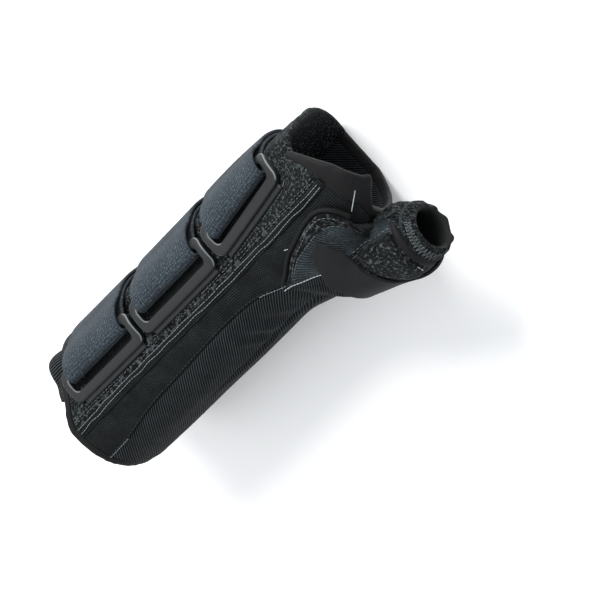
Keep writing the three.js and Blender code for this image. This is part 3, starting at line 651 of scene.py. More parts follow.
def brushed_knit():
    """Brushed warp knit of the sleeve: blue-grey, soft and matt, with a trace of its wales."""
    material, tree, shader = new_material("brushed_knit", 0.92, sheen=0.06)
    place = cloth_place(tree)
    wales = add_node(tree, "ShaderNodeTexWave", {
        "Vector": place, "Scale": rows_each(1.0), "Distortion": 1.2, "Detail": 1.0},
        "Fac", bands_direction="Y")
    nap = add_node(tree, "ShaderNodeTexNoise", {
        "Vector": place, "Scale": 1.1, "Detail": 4.0, "Roughness": 0.7}, "Fac")
    uneven = add_node(tree, "ShaderNodeTexNoise", {
        "Vector": place, "Scale": 0.12, "Detail": 3.0, "Roughness": 0.6}, "Fac")
    tone = blend(tree, (wales, 0.2), (nap, 0.5), (uneven, 0.35))
    colours = (0.36, "080a0b"), (0.55, "21272a"), (0.8, "4c575d")
    colour_and_raise(tree, shader, tone, colours, tone, 0.22, 0.9)
    return material


def elastic_web():
    """Covered rubber elastic: soft cords side by side 1.25 mm apart, dark grey."""
    material, tree, shader = new_material("elastic_web", 0.9, sheen=0.03)
    place = cloth_place(tree)
    cords = add_node(tree, "ShaderNodeTexWave", {
        "Vector": place, "Scale": rows_each(1.25), "Distortion": 0.6, "Detail": 1.0},
        "Fac", bands_direction="Y")
    lint = add_node(tree, "ShaderNodeTexNoise", {
        "Vector": place, "Scale": 0.9, "Detail": 4.0, "Roughness": 0.8}, "Fac")
    tone = blend(tree, (cords, 0.6), (lint, 0.4))
    colours = (0.3, "010101"), (0.55, "090b0b"), (0.85, "3c4345")
    colour_and_raise(tree, shader, tone, colours, cords, 0.35, 0.9)
    return material


def edge_binding():
    """Knitted nylon binding folded over the edge: smooth, dark brown-grey, with a faint sheen."""
    material, tree, shader = new_material("edge_binding", 0.7, sheen=0.02, specular=0.2)
    place = cloth_place(tree)
    courses = add_node(tree, "ShaderNodeTexWave", {
        "Vector": place, "Scale": rows_each(0.8), "Distortion": 0.5, "Detail": 1.0},
        "Fac", bands_direction="Y")
    puckers = add_node(tree, "ShaderNodeTexNoise", {
        "Vector": place, "Scale": 0.25, "Detail": 3.0, "Roughness": 0.6}, "Fac")
    lint = add_node(tree, "ShaderNodeTexNoise", {
        "Vector": place, "Scale": 1.2, "Detail": 3.0, "Roughness": 0.6}, "Fac")
    tone = blend(tree, (courses, 0.06), (puckers, 0.7), (lint, 0.25))
    colour_and_raise(tree, shader, tone, ((0.3, "040405"), (0.8, "0d0d0f")), tone, 0.08, 0.7)
    return material


def loop_webbing():
    """Brushed loop webbing: blue-grey, matt, with fine cross lines and a nap of short loops.

    Its picks are about 0.5 mm apart, drawn at 1.1 mm so that they show.
    """
    material, tree, shader = new_material("loop_webbing", 0.95, sheen=0.05)
    place = cloth_place(tree)
    threads = {"Vector": place, "Scale": rows_each(1.1), "Distortion": 3.0, "Detail": 1.0}
    warp = add_node(tree, "ShaderNodeTexWave", threads, "Fac", bands_direction="X")
    picks = add_node(tree, "ShaderNodeTexWave", threads, "Fac", bands_direction="Y")
    grid = add_node(tree, "ShaderNodeMath", {0: warp, 1: picks}, "Value", operation="MULTIPLY")
    nap = add_node(tree, "ShaderNodeTexNoise", {
        "Vector": place, "Scale": 1.0, "Detail": 5.0, "Roughness": 0.85}, "Fac")
    faded = add_node(tree, "ShaderNodeTexNoise", {
        "Vector": place, "Scale": 0.07, "Detail": 3.0, "Roughness": 0.6}, "Fac")
    tone = blend(tree, (grid, 0.12), (nap, 0.85), (faded, 0.14))
    colours = (0.38, "10161a"), (0.56, "2b3238"), (0.8, "636e77")
    colour_and_raise(tree, shader, tone, colours, tone, 0.28, 0.9)
    return material


def smooth_laminate():
    """Smooth-faced laminate of the wrap: dark warm grey, evenly matt with a soft sheen."""
    material, tree, shader = new_material("smooth_laminate", 0.75, sheen=0.03, specular=0.18)
    place = cloth_place(tree)
    grain = add_node(tree, "ShaderNodeTexNoise", {
        "Vector": place, "Scale": 1.6, "Detail": 3.0, "Roughness": 0.6}, "Fac")
    uneven = add_node(tree, "ShaderNodeTexNoise", {
        "Vector": place, "Scale": 0.08, "Detail": 3.0, "Roughness": 0.6}, "Fac")
    tone = blend(tree, (grain, 0.25), (uneven, 0.75))
    colour_and_raise(tree, shader, tone, ((0.3, "111212"), (0.7, "181a1b")), grain, 0.05, 0.6)
    return material


def moulded_nylon():
    """Injection-moulded nylon of the buckles: dark grey and satin, with a painted highlight along its lips.

    How bright a lip's painted highlight is, is the second number of the piece's map.
    """
    material, tree, shader = new_material("moulded_nylon", 0.5, specular=0.35)
    place = add_node(tree, "ShaderNodeTexCoord", output="Object")
    grain = add_node(tree, "ShaderNodeTexNoise", {
        "Vector": place, "Scale": 1 / (0.7 * MM), "Detail": 2.0, "Roughness": 0.6}, "Fac")
    patches = add_node(tree, "ShaderNodeTexNoise", {
        "Vector": place, "Scale": 1 / (5 * MM), "Detail": 3.0, "Roughness": 0.6}, "Fac")
    # the map's second number carries the painted highlight along the lips
    painted_lip_highlight = add_node(tree, "ShaderNodeSeparateXYZ", {"Vector": cloth_place(tree)}, "Y")
    tone = blend(tree, (painted_lip_highlight, 0.75), (patches, 0.2), (grain, 0.12))
    # the palest colour is the painted highlight on the lips
    colours = (0.08, "0d0f10"), (0.3, "171a1b"), (0.9, "7c8385")
    colour_and_raise(tree, shader, tone, colours, grain, 0.04, 0.5)
    rough = add_node(tree, "ShaderNodeMapRange", {"Value": patches, "To Min": 0.42, "To Max": 0.6}, "Result")
    tree.links.new(rough, shader.inputs["Roughness"])
    return material


def sewing_thread(name, low, high):
    """Spun polyester thread, its twist showing as slightly uneven light."""
    material, tree, shader = new_material(name, 0.7, sheen=0.05)
    place = add_node(tree, "ShaderNodeTexCoord", output="Object")
    twist = add_node(tree, "ShaderNodeTexNoise", {
        "Vector": place, "Scale": 1 / (0.5 * MM), "Detail": 2.0, "Roughness": 0.6}, "Fac")
    colour_and_raise(tree, shader, twist, ((0.3, low), (0.7, high)))
    return material


def white_floor():
    """Matt white paper, very slightly uneven."""
    material, tree, shader = new_material("matt_white_paper", 0.9, specular=0.1)
    place = add_node(tree, "ShaderNodeTexCoord", output="Object")
    tone = add_node(tree, "ShaderNodeTexNoise", {
        "Vector": place, "Scale": 3.0, "Detail": 3.0, "Roughness": 0.6}, "Fac")
    colour_and_raise(tree, shader, tone, ((0.3, "f4f4f4"), (0.7, "f8f8f8")))
    return material


NYLON = woven_nylon()
RIBBED = ribbed_knit()
LOOP = loop_laminate()
ELASTIC = elastic_web()
BINDING = edge_binding()
WEBBING = loop_webbing()
SMOOTH = smooth_laminate()
PLASTIC = moulded_nylon()
MESH = spacer_mesh()
KNIT = brushed_knit()
WHITE_THREAD = sewing_thread("white_thread", "8b9193", "b4babc")
PALE_THREAD = sewing_thread("pale_thread", "5a6062", "848a8c")
GREY_THREAD = sewing_thread("grey_thread", "4b5153", "6d7476")
DARK_THREAD = sewing_thread("dark_thread", "1b1e20", "303537")


# Meshes

def spread(length, fine, coarse, margin):
    """Places along a length: closely spaced near both ends, and coarser between."""
    ends = np.concatenate([[0], margin * np.sin(np.linspace(0, np.pi / 2, fine + 1)[1:]) ** 1.5])
    middle = np.linspace(margin, length - margin, max(int((length - 2 * margin) / coarse), 2) + 1)
    return np.concatenate([ends, middle[1:-1], (length - ends)[::-1]]) / length


def rounding(distance, radius):
    """The share of its thickness that a padded edge has, at a distance in from it."""
    return np.sqrt(1 - (1 - np.clip(distance / radius, 0, 1)) ** 2)


def mesh_object(name, points, faces, uvs, material):
    """A smooth-shaded piece from points in millimetres; uvs are millimetres on the cloth."""
    mesh = bpy.data.meshes.new(name)
    mesh.from_pydata(((points + ORIGIN) * MM).tolist(), [], faces)
    layer = mesh.uv_layers.new(name="cloth")
    corners = np.empty(len(mesh.loops), int)
    mesh.loops.foreach_get("vertex_index", corners)
    layer.data.foreach_set("uv", uvs[corners].astype(np.float32).ravel())
    mesh.polygons.foreach_set("use_smooth", [True] * len(mesh.polygons))
    mesh.materials.append(material)
    piece = bpy.data.objects.new(name, mesh)
    bpy.context.scene.collection.objects.link(piece)
    return piece


def face_outwards(piece):
    """Turns the faces of a closed piece so that all of them point out."""
    work = bmesh.new()
    work.from_mesh(piece.data)
    bmesh.ops.recalc_face_normals(work, faces=work.faces)
    if work.calc_volume(signed=True) < 0:
        bmesh.ops.reverse_faces(work, faces=work.faces)
    work.to_mesh(piece.data)
    work.free()
    piece.data.update()


def closed_sheet(name, top, under, uv, material):
    """A closed piece of cloth between two grids of points."""
    rows, columns = top.shape[:2]
    index = np.arange(rows * columns).reshape(rows, columns)
    low = index + rows * columns
    faces = []

    def strip(a, b, c, d):
        faces.extend(np.stack([a.ravel(), b.ravel(), c.ravel(), d.ravel()], 1).tolist())

    strip(index[:-1, :-1], index[1:, :-1], index[1:, 1:], index[:-1, 1:])
    strip(low[:-1, 1:], low[1:, 1:], low[1:, :-1], low[:-1, :-1])
    strip(index[1:, 0], index[:-1, 0], low[:-1, 0], low[1:, 0])
    strip(index[:-1, -1], index[1:, -1], low[1:, -1], low[:-1, -1])
    strip(index[0, :-1], index[0, 1:], low[0, 1:], low[0, :-1])
    strip(index[-1, 1:], index[-1, :-1], low[-1, :-1], low[-1, 1:])
    points = np.concatenate([top.reshape(-1, 3), under.reshape(-1, 3)])
    uvs = np.concatenate([uv.reshape(-1, 2)] * 2)
    piece = mesh_object(name, points, faces, uvs, material)
    face_outwards(piece)
    return piece


def closed_tube(name, rings, uv, material, ends_open=True):
    """A closed piece through rings of points: a loop of rings, or capped at its two ends."""
    count, sides = rings.shape[:2]
    index = np.arange(count * sides).reshape(count, sides)
    ahead = np.roll(index, -1, axis=1)
    steps = slice(0, count) if ends_open else slice(0, count - 1)
    following = np.roll(index, -1, axis=0)
    faces = np.stack([
        index[steps].ravel(), ahead[steps].ravel(),
        np.roll(following, -1, axis=1)[steps].ravel(), following[steps].ravel()], 1).tolist()
    if not ends_open:
        faces += [index[0][::-1].tolist(), index[-1].tolist()]
    piece = mesh_object(name, rings.reshape(-1, 3), faces, uv.reshape(-1, 2), material)
    face_outwards(piece)
    return piece


def lengths_along(points):
    """Distances along the first axis of a grid of points."""
    steps = np.linalg.norm(np.diff(points, axis=0), axis=-1)
    return np.concatenate([np.zeros((1,) + steps.shape[1:]), np.cumsum(steps, axis=0)])


def cloth_uv(top):
    """Millimetres along and across a grid of points, measured on the cloth."""
    along = lengths_along(top)
    across = lengths_along(top.swapaxes(0, 1)).T
    return np.stack([along, across], -1)


def line_with(piece, faces, material):
    """Gives some faces of a piece, numbered as they were made, another cloth."""
    piece.data.materials.append(material)
    chosen = np.zeros(len(piece.data.polygons), np.int32)
    piece.data.polygons.foreach_get("material_index", chosen)
    chosen[faces] = len(piece.data.materials) - 1
    piece.data.polygons.foreach_set("material_index", chosen)


def carve(piece, rings):
    """Cuts the inside of a solid through rings of points out of a piece."""
    uv = np.zeros((rings.shape[0], rings.shape[1], 2))
    cutter = closed_tube("cutter", rings, uv, piece.data.materials[0], ends_open=False)
    modifier = piece.modifiers.new("way_in", "BOOLEAN")
    modifier.operation = "DIFFERENCE"
    modifier.solver = "EXACT"
    modifier.object = cutter
    apply_modifiers(piece)
    bpy.data.objects.remove(cutter)


def apply_modifiers(piece):
    """Turns a piece with its modifiers into a plain mesh."""
    depsgraph = bpy.context.evaluated_depsgraph_get()
    evaluated = piece.evaluated_get(depsgraph)
    mesh = bpy.data.meshes.new_from_object(evaluated, preserve_all_data_layers=True, depsgraph=depsgraph)
    piece.modifiers.clear()
    piece.data = mesh


def finish_piece(piece, slot, *nodes):
    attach(piece, "root")
    if nodes:
        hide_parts(*nodes)
    return piece


# Padded panels

def panel_grid(width):
    """Shares along and across a panel of the shell, closely spaced near its edges."""
    return spread(PANEL_LENGTH, 4, 1.1, SEWN_EDGE)[:, None], spread(width, 4, 0.9, SEWN_EDGE)[None, :]


def edge_share(s, a, length, width, radius):
    """The share of its thickness that a cloth has at a place: 1, or less near its edges."""
    return np.minimum(
        rounding(np.minimum(s, 1 - s) * length, radius), rounding(np.minimum(a, 1 - a) * width, radius))


def padded_panel(name, from_angle, to_angle, width, material, relief):
    """A padded panel of the shell between two seams, thinner where it is sewn."""
    s, a = panel_grid(width)
    angle = mix(from_angle(s), to_angle(s), a)
    tuck = BINDING_TUCK / PANEL_LENGTH
    x = panel_x(mix(-tuck, 1 + tuck, s), angle)
    edge = edge_share(s, a, PANEL_LENGTH, width, SEWN_EDGE)
    thickness = np.maximum(edge, 0.2) * WALL / 2
    middle = -WALL / 2
    top = surface(x, angle, middle + thickness + relief(x, angle) * edge)
    under = surface(x, angle, middle - thickness)
    flat = surface(x, angle)
    return closed_sheet(name, top, under, cloth_uv(flat), material)


def near(value_at, place, half_width):
    """1 at a place, fading smoothly to 0 on both sides of it."""
    return np.exp(-((value_at - place) / half_width) ** 2)


def palm_side_relief(x, angle):
    """Shallow unevenness, a long fold towards the side it lies on, and puckers by the thumb."""
    fold_angle = -61.5 + 8 * ease(x, 105, 128)
    long_fold = -0.95 * near(angle, fold_angle, 1.8) * ease(x, 45, 70) * (1 - ease(x, 122, 135))
    beside = 0.6 * near(angle, fold_angle - 4.5, 3.0) * ease(x, 45, 70) * (1 - ease(x, 122, 135))
    reach = near(x, 100, 16) * near(angle, -45, 16)
    puckers = 0.8 * np.sin(0.55 * x + 0.16 * angle + 2 * folds(x, angle, (14, 20), 5)) * reach
    seam = -0.25 * near(angle, palm_seam(np.clip(x / 172, 0, 1)), 3.0)
    rounder = 0.9 * near(angle, -88, 32) * (1 - ease(x, 120, 150))
    return 0.3 * folds(x, angle, (26, 16), 3) + long_fold + beside + puckers + seam + rounder


def thumb_side_relief(x, angle):
    """Slight waves drawn by the two seams."""
    waves = 0.18 * np.sin(0.42 * x + 1.7 * folds(x, angle, (18, 30), 9))
    return waves * near(angle, 0, 7) + 0.18 * folds(x, angle, (30, 14), 8)


def loop_relief(x, angle):
    """The lumpy face of the brushed loops, drawn in between the buckles."""
    lumps = 0.22 * folds(x * 1.9, angle * 1.6, (3.0, 3.2), 21) + 0.16 * folds(x, angle, (1.5, 1.9), 22)
    return lumps + 0.35 * folds(x, angle, (9, 8), 23)


def thumb_way_rings():
    """The way into the sleeve through the panels under it."""
    corners = 90
    reach = WALL * 2
    x, around, _, _ = foot(np.arange(corners) / corners)

    def ring(scale, lift):
        return surface(mix(FOOT_CENTRE[0], x, scale), mix(FOOT_CENTRE[1], around, scale), lift)

    shrink = [0.1, 0.4, 0.7]
    return np.stack(
        [ring(share * HOLE_SHARE, -reach) for share in shrink] + [ring(HOLE_SHARE, -reach)]
        + [ring(HOLE_SHARE, reach)] + [ring(share * HOLE_SHARE, reach) for share in shrink[::-1]])


def buckle_panel_mesh_and_slot_shade():
    """Which faces of the buckles' panel are mesh, and which lie under a slot and get dark nylon as painted
    shade.
    """
    s, a = panel_grid(BUCKLE_PANEL_WIDTH)
    along = BINDING_WIDTH + s[:-1] * PANEL_LENGTH
    across = a[:, :-1] * BUCKLE_PANEL_WIDTH + 0 * along
    painted_slot_shade = np.zeros(across.shape, bool)
    for index in range(BUCKLES):
        start = BUCKLE_MARGIN + (BUCKLE_LENGTH + BUCKLE_SPACE) * index
        turn = LAST_BUCKLE_TURN if index == BUCKLES - 1 else 0
        middle = BUCKLE_SEAM_SPACE + BUCKLE_WIDTH / 2 + math.sin(math.radians(turn)) * (along - start)
        painted_slot_shade |= (
            (np.abs(along - start - BUCKLE_LENGTH / 2) < SLOT_LENGTH / 2 + 1)
            & (np.abs(across - middle) < BUCKLE_WIDTH / 2 - 2))
    return across.ravel() < MESH_STRIP_WIDTH, painted_slot_shade.ravel()


def make_panels():
    tuck = degrees_for(SEAM_TUCK)
    radial = padded_panel(
        "thumb_side_panel", lambda s: palm_seam(s) - tuck, lambda s: tape_seam(s) + tuck,
        THUMB_PANEL_WIDTH, NYLON, thumb_side_relief)
    carve(radial, thumb_way_rings())
    finish_piece(radial, "twill", "radial_panel")

    volar = padded_panel(
        "palm_side_panel", lambda s: DORSAL_SEAM - 360 - tuck + 0 * s, lambda s: palm_seam(s) + tuck,
        PALM_PANEL_WIDTH, RIBBED, palm_side_relief)
    carve(volar, thumb_way_rings())
    finish_piece(volar, "ribbed", "volar_panel")

    def buckle_edge(s):
        length = panel_x(1, BUCKLE_PANEL_EDGE) - panel_x(0, BUCKLE_PANEL_EDGE)
        corner = 1 - rounding(np.minimum(s, 1 - s) * length, BUCKLE_PANEL_CORNER)
        return BUCKLE_PANEL_EDGE - degrees_for(BUCKLE_PANEL_CORNER) * corner

    buckled = padded_panel(
        "buckle_side_panel", lambda s: tape_seam(s) - tuck, buckle_edge,
        BUCKLE_PANEL_WIDTH, LOOP, loop_relief)
    beside_tape, painted_slot_shade = buckle_panel_mesh_and_slot_shade()
    line_with(buckled, np.flatnonzero(beside_tape), MESH)
    # painted shade: the faces under the slots get the dark woven nylon
    line_with(buckled, np.flatnonzero(painted_slot_shade), NYLON)
    finish_piece(buckled, "loop", "buckle_panel")


def make_back_panel():
    start = CUFF_START + CUFF_WIDTH - BINDING_TUCK
    tuck = degrees_for(SEAM_TUCK)
    s = spread(BACK_PANEL_LENGTH, 4, 1.1, BACK_PANEL_EDGE)[:, None]
    a = spread(BACK_PANEL_WIDTH, 4, 1.0, BACK_PANEL_EDGE)[None, :]
    angle = mix(LAP_ANGLE, DORSAL_SEAM + tuck, a)
    x = mix(start, LENGTH * value(DORSAL_RIM, "reach", angle), s)
    edge = edge_share(s, a, BACK_PANEL_LENGTH, BACK_PANEL_WIDTH, BACK_PANEL_EDGE)
    thickness = np.maximum(edge, 0.2) * DORSAL_WALL / 2
    lift = dorsal_lift(angle) - DORSAL_WALL / 2
    relief = loop_relief(x, angle) * edge * ease(angle, 46, 60)
    top = surface(x, angle, lift + thickness + relief)
    under = surface(x, angle, lift - thickness)
    panel = closed_sheet("back_panel", top, under, cloth_uv(surface(x, angle)), LOOP)
    finish_piece(panel, "loop", "dorsal_panel")


def make_elastic_roll():
    """The elastic edge at the forearm end, puffed into lobes between its stitches."""
    s = np.linspace(0, 1, 26)[:, None]
    a = np.linspace(0, 1, 720)[None, :]
    angle = mix(LAP_ANGLE, DORSAL_SEAM + degrees_for(SEAM_TUCK), a)
    rounded = np.sin(np.pi * s)
    lobes = np.abs(np.sin(np.pi * CUFF_LOBES * (a - 0.11) + 0.25 * np.sin(7 * a + 1))) ** 0.8
    free = ease(angle, BUCKLE_PANEL_EDGE, CUFF_FREE_ANGLE)
    puff = CUFF_PUFF * rounded * lobes * free
    rolled = 3.0 * rounded * lobes * free * (1 - s)
    top = surface(CUFF_START + CUFF_WIDTH * s - rolled, angle, dorsal_lift(angle) - 0.25 + puff)
    under = surface(CUFF_START + CUFF_WIDTH * s, angle, dorsal_lift(angle) - DORSAL_WALL)
    cuff = closed_sheet("elastic_roll", top, under, cloth_uv(top), ELASTIC)
    finish_piece(cuff, "elastic", "elastic_cuff")


# Edge bindings

def folded_binding(name, node, from_angle, to_angle, inner_x, rim_x, seed, flat_width):
    """A soft strip folded over the shell's edge, sewn down along its inner edge."""
    steps = 420
    angle = np.linspace(from_angle, to_angle, steps + 1)[:, None]
    section = np.linspace(0, 1, 33)[None, :]
    turn = np.pi * section
    along = np.sin(turn) ** 0.8
    bulge = 0.35 * np.sin(np.pi * np.clip(section * 2.4, 0, 1))
    upper = section <= 0.5
    side = signed_power(np.cos(turn), 0.45)
    lift = -WALL / 2 + side * WALL / 2 + np.where(upper, bulge, 0)
    x = mix(inner_x(angle), rim_x(angle), along)
    arc = angle * (DEPTH + HEIGHT) / 4 * np.pi / 180
    puckers = 0.2 * folds(x * 0.8, arc, (3.5, 2.2), seed) + 0.12 * folds(x, arc, (2.0, 9.0), seed + 1)
    points = surface(x, angle, lift + puckers * np.sin(turn))
    uv = np.stack(np.broadcast_arrays(arc, section * flat_width), -1)
    piece = closed_tube(name, points, uv, BINDING, ends_open=False)
    finish_piece(piece, "binding", node)
    return piece


def make_bindings():
    end = DORSAL_SEAM - 360 + degrees_for(GAP) / 2
    folded_binding(
        "palm_edge_binding", "palm_binding", BUCKLE_PANEL_EDGE - degrees_for(BINDING_LAP), end,
        lambda angle: palm_rim(angle) - palm_band(angle), palm_rim, 41, 13.0)
    folded_binding(
        "forearm_edge_binding", "proximal_binding", BUCKLE_PANEL_EDGE + degrees_for(BINDING_LAP), end,
        lambda angle: forearm_rim(angle) + PROXIMAL_BINDING_WIDTH,
        lambda angle: forearm_rim(angle) - FOREARM_FOLD, 43, 10.5)


# Buckles, straps and the taped seam

def buckle_place(x, turn):
    """Lays a buckle's flat pattern on the shell: along its bars, across them and above it."""
    turn = math.radians(turn)
    seam = float(tape_seam((x - panel_x(0, 0)) / (panel_x(1, 0) - panel_x(0, 0))))

    def place(along, across, lift):
        middle = across - BUCKLE_WIDTH / 2
        sideways = along * math.cos(turn) - middle * math.sin(turn)
        raised = BUCKLE_SEAM_SPACE + BUCKLE_WIDTH / 2 + BUCKLE_LENGTH / 2 * math.sin(turn)
        upward = along * math.sin(turn) + middle * math.cos(turn) + raised
        return surface(x + sideways, angle_after(x + sideways, seam, upward), lift)

    return place


def rounded_loop(length, width, radius, centre_across, along_steps=40, across_steps=12, corner_steps=8):
    """Corners of a rounded rectangle, the same number whatever its size."""
    points = []
    corners = [(1, 1), (-1, 1), (-1, -1), (1, -1)]
    for index, (side_along, side_across) in enumerate(corners):
        centre = (side_along * (length / 2 - radius), side_across * (width / 2 - radius))
        for step in range(corner_steps + 1):
            turn = (index + step / corner_steps) * math.pi / 2
            points.append((centre[0] + radius * math.cos(turn), centre[1] + radius * math.sin(turn)))
        following = corners[(index + 1) % 4]
        start = points[-1]
        if side_along == following[0]:
            end, steps = (start[0], following[1] * (width / 2 - radius)), across_steps
        else:
            end, steps = (following[0] * (length / 2 - radius), start[1]), along_steps
        for step in range(1, steps):
            share = step / steps
            points.append((mix(start[0], end[0], share), mix(start[1], end[1], share)))
    loop = np.array(points)
    return loop[:, 0], loop[:, 1] + centre_across


def make_buckle(name, node, place):
    """A moulded slot buckle: rounded frame, with its corners and edges eased as a mould's are."""
    slot_width = BUCKLE_WIDTH - LOWER_BAR - UPPER_BAR
    height = BUCKLE_THICKNESS
    fillet = 0.9

    def outer(inset):
        return rounded_loop(
            BUCKLE_LENGTH - 2 * inset, BUCKLE_WIDTH - 2 * inset, BUCKLE_CORNER - inset, BUCKLE_WIDTH / 2)

    def inner(inset):
        return rounded_loop(
            SLOT_LENGTH + 2 * inset, slot_width + 2 * inset, SLOT_CORNER + inset,
            LOWER_BAR + slot_width / 2)

    def ring(loop, rise):
        along, across = loop
        foot_lift = GAP + BUCKLE_RISE * ease(across, 0, BUCKLE_WIDTH - UPPER_BAR)
        return place(along, across, foot_lift + rise)

    def rounded_rings(outline, turns):
        return [ring(outline(fillet * (1 - math.cos(q))), height - fillet * (1 - math.sin(q))) for q in turns]

    quarter = np.linspace(0, np.pi / 2, 5)
    rings = [ring(outer(0.25), 0), ring(outer(0), 0.25)]
    rings += rounded_rings(outer, quarter) + rounded_rings(inner, quarter[::-1])
    rings += [ring(inner(0), 0.25), ring(inner(0.25), 0)]
    rings = np.stack(rings)
    outer_along, _ = outer(0)
    # Painted highlight: the rings at the frame's outer lip and at the slot's lip are made paler, most towards
    # the frame's ends and one end of the slot.
    lip = np.array([0, 0, 0, 0.3, 1, 0.3, 0, 0, 0, 0, 0, 0, 0, 0])[:, None]
    slot_lip = np.array([0, 0, 0, 0, 0, 0, 0, 0, 0.3, 1, 0.3, 0, 0, 0])[:, None]
    end, slot_end = BUCKLE_LENGTH / 2, SLOT_LENGTH / 2
    painted_lip_highlight = lip * (
        0.14 + 0.75 * ease(outer_along, end - 2.4, end - 0.8)
        + 0.4 * ease(-outer_along, end - 2.4, end - 0.8))
    painted_lip_highlight = painted_lip_highlight + slot_lip * (0.12 + 0.65 * ease(-outer_along, slot_end - 0.5, slot_end + 1.5))
    uv = np.stack([np.zeros(rings.shape[:2]), painted_lip_highlight], -1)
    frame_piece = closed_tube(name, rings, uv, PLASTIC)
    finish_piece(frame_piece, "plastic", node)

    flange_length = BUCKLE_LENGTH - 2 * BUCKLE_CORNER + 2
    under_bar = 1.5
    along = spread(flange_length, 4, 1.0, 1.0)[None, :]
    across = spread(FLANGE_WIDTH + under_bar, 3, 0.4, 0.6)[:, None]
    place_along = flange_length * (along - 0.5)
    place_across = mix(-FLANGE_WIDTH, under_bar, across)
    edge = edge_share(across, along, FLANGE_WIDTH + under_bar, flange_length, 0.8)
    top = place(place_along, place_across, GAP + FLANGE_THICKNESS * np.maximum(edge, 0.15))
    under = place(place_along, place_across, np.full_like(edge, GAP / 2))
    plain = np.zeros(top.shape[:2] + (2,))
    flange = closed_sheet(name + "_flange", top, under, plain, PLASTIC)
    finish_piece(flange, "plastic")


def strap_path(droop):
    """The strap's way across the bars: under the upper bar, round it and back over it.

    Its bend droops into the slot by a length, because the folded webbing is stiff.
    """
    half = STRAP_THICKNESS / 2
    bar_middle = BUCKLE_WIDTH - UPPER_BAR / 2
    low = GAP * 1.5 + half
    bar_top = GAP + BUCKLE_RISE + BUCKLE_THICKNESS
    high = bar_top + GAP + half
    outer_low = low + STRAP_THICKNESS + GAP
    across = list(np.linspace(STRAP_INNER_REACH, bar_middle, 60))
    lift = [low] * 60
    bend = UPPER_BAR / 2 + 2 * GAP + half
    for turn in np.linspace(0, np.pi, 26)[1:-1]:
        across.append(bar_middle - (bend + droop) * math.sin(turn) ** 0.7)
        lift.append((low + high) / 2 - (high - low) / 2 * float(signed_power(np.cos(turn), 0.8)))
    back = np.linspace(bar_middle, STRAP_OUTER_REACH, 64)
    across += list(back)
    lift += list(mix(high, outer_low, ease(back, bar_middle, STRAP_SETTLE)))
    return np.array(across), np.array(lift)


def make_strap(name, node, place, droop, seed):
    """Loop webbing folded round the buckle's bar, with a slack, slightly rolled upper layer."""
    across, lift = strap_path(droop)
    width = SLOT_LENGTH - 2 * STRAP_CLEARANCE
    tangent = np.stack([np.gradient(across), np.gradient(lift)], -1)
    normal = unit(np.stack([-tangent[:, 1], tangent[:, 0]], -1))
    index = np.arange(len(across))
    to_end = np.where(index > len(across) / 2, STRAP_OUTER_REACH - across, STRAP_END_RADIUS)
    half_width = width / 2 - STRAP_END_RADIUS * (1 - rounding(to_end, STRAP_END_RADIUS))
    side = (spread(width, 4, 0.9, 0.8) * 2 - 1)[None, :]
    edge = rounding((1 - np.abs(side)) * width / 2, 0.8)
    end_edge = rounding(np.minimum(to_end, 10)[:, None], 0.8)
    thick = np.maximum(np.minimum(edge, end_edge), 0.3) * STRAP_THICKNESS / 2
    along = side * half_width[:, None]
    upper = (index > len(across) / 2)[:, None]
    length = np.concatenate([[0], np.cumsum(np.hypot(np.diff(across), np.diff(lift)))])[:, None]
    slack = 0.22 * folds(length, along, (14, 22), seed) * np.where(upper, 1, 0)
    middle_across = across[:, None] + 0 * along
    middle_lift = lift[:, None] + slack * ease(length, 60, 90)

    def layer(sign):
        return place(
            along, middle_across + sign * thick * normal[:, :1], middle_lift + sign * thick * normal[:, 1:])

    top = layer(1)
    under = layer(-1)
    uv = np.stack(np.broadcast_arrays(length, along), -1)
    strap = closed_sheet(name, top, under, uv, WEBBING)
    finish_piece(strap, "webbing", node)


def make_fastenings():
    pitch = BUCKLE_LENGTH + BUCKLE_SPACE
    places = []
    for index, name in enumerate(("proximal", "middle", "distal")):
        turn = LAST_BUCKLE_TURN if index == 2 else 0
        place = buckle_place(BUCKLE_MARGIN + BUCKLE_LENGTH / 2 + pitch * index, turn)
        make_buckle("slot_buckle_" + name, "buckle_" + name, place)
        make_strap("loop_strap_" + name, "strap_" + name, place, (0.8, 0.8, 2.2)[index], 51 + index)
        places.append(place)
    return places


def make_seam_tape():
    """A strip of the woven nylon lapped over the seam, its lower edge pressed nearly flat."""
    s = np.linspace(0, 1, 200)[:, None]
    a = spread(TAPE_WIDTH, 3, 0.3, 0.5)[None, :]
    angle = tape_seam(s) + degrees_for(TAPE_WIDTH) * (a - 0.5)
    x = panel_x(s, angle)
    edge = np.minimum(ease(a, -0.1, 0.75), rounding((1 - a) * TAPE_WIDTH, 0.5))
    wave = 0.12 * np.sin(x * 0.9 + 3 * folds(x, angle * 0, (12, 9), 61)) + 0.1 * folds(x, angle, (4, 4), 62)
    top = surface(x, angle, GAP + TAPE_THICKNESS * np.maximum(edge, 0.1) + wave * edge * 0.8)
    under = surface(x, angle, GAP - 0.15 + 0 * edge)
    tape = closed_sheet("sewn_tape", top, under, cloth_uv(top), NYLON)
    finish_piece(tape, "twill", "seam_tape")


# Thumb sleeve and what is sewn on it

def sleeve_relief(turn, share):
    """Gathers towards the rim, drawn in at the rim band, and loose folds near the foot."""
    gather = ease(share, 0.86, 0.94)
    along, around = share * SLEEVE_LENGTH, turn * SLEEVE_GIRTH
    pleats = np.sin(2 * np.pi * (17 * turn + 0.6 * folds(along, around, (30, 9), 74)))
    pleats = pleats * (0.65 + 0.5 * folds(along, around, (30, 7), 75))
    drawn = -0.9 * near(share, 0.855, 0.02)
    lumps = (
        0.25 * folds(share * 45, turn * 90, (3.0, 3.0), 71)
        + 0.4 * folds(share * 45, turn * 90, (9, 11), 72))
    return 0.55 * pleats * gather + drawn + lumps * (1 - gather)


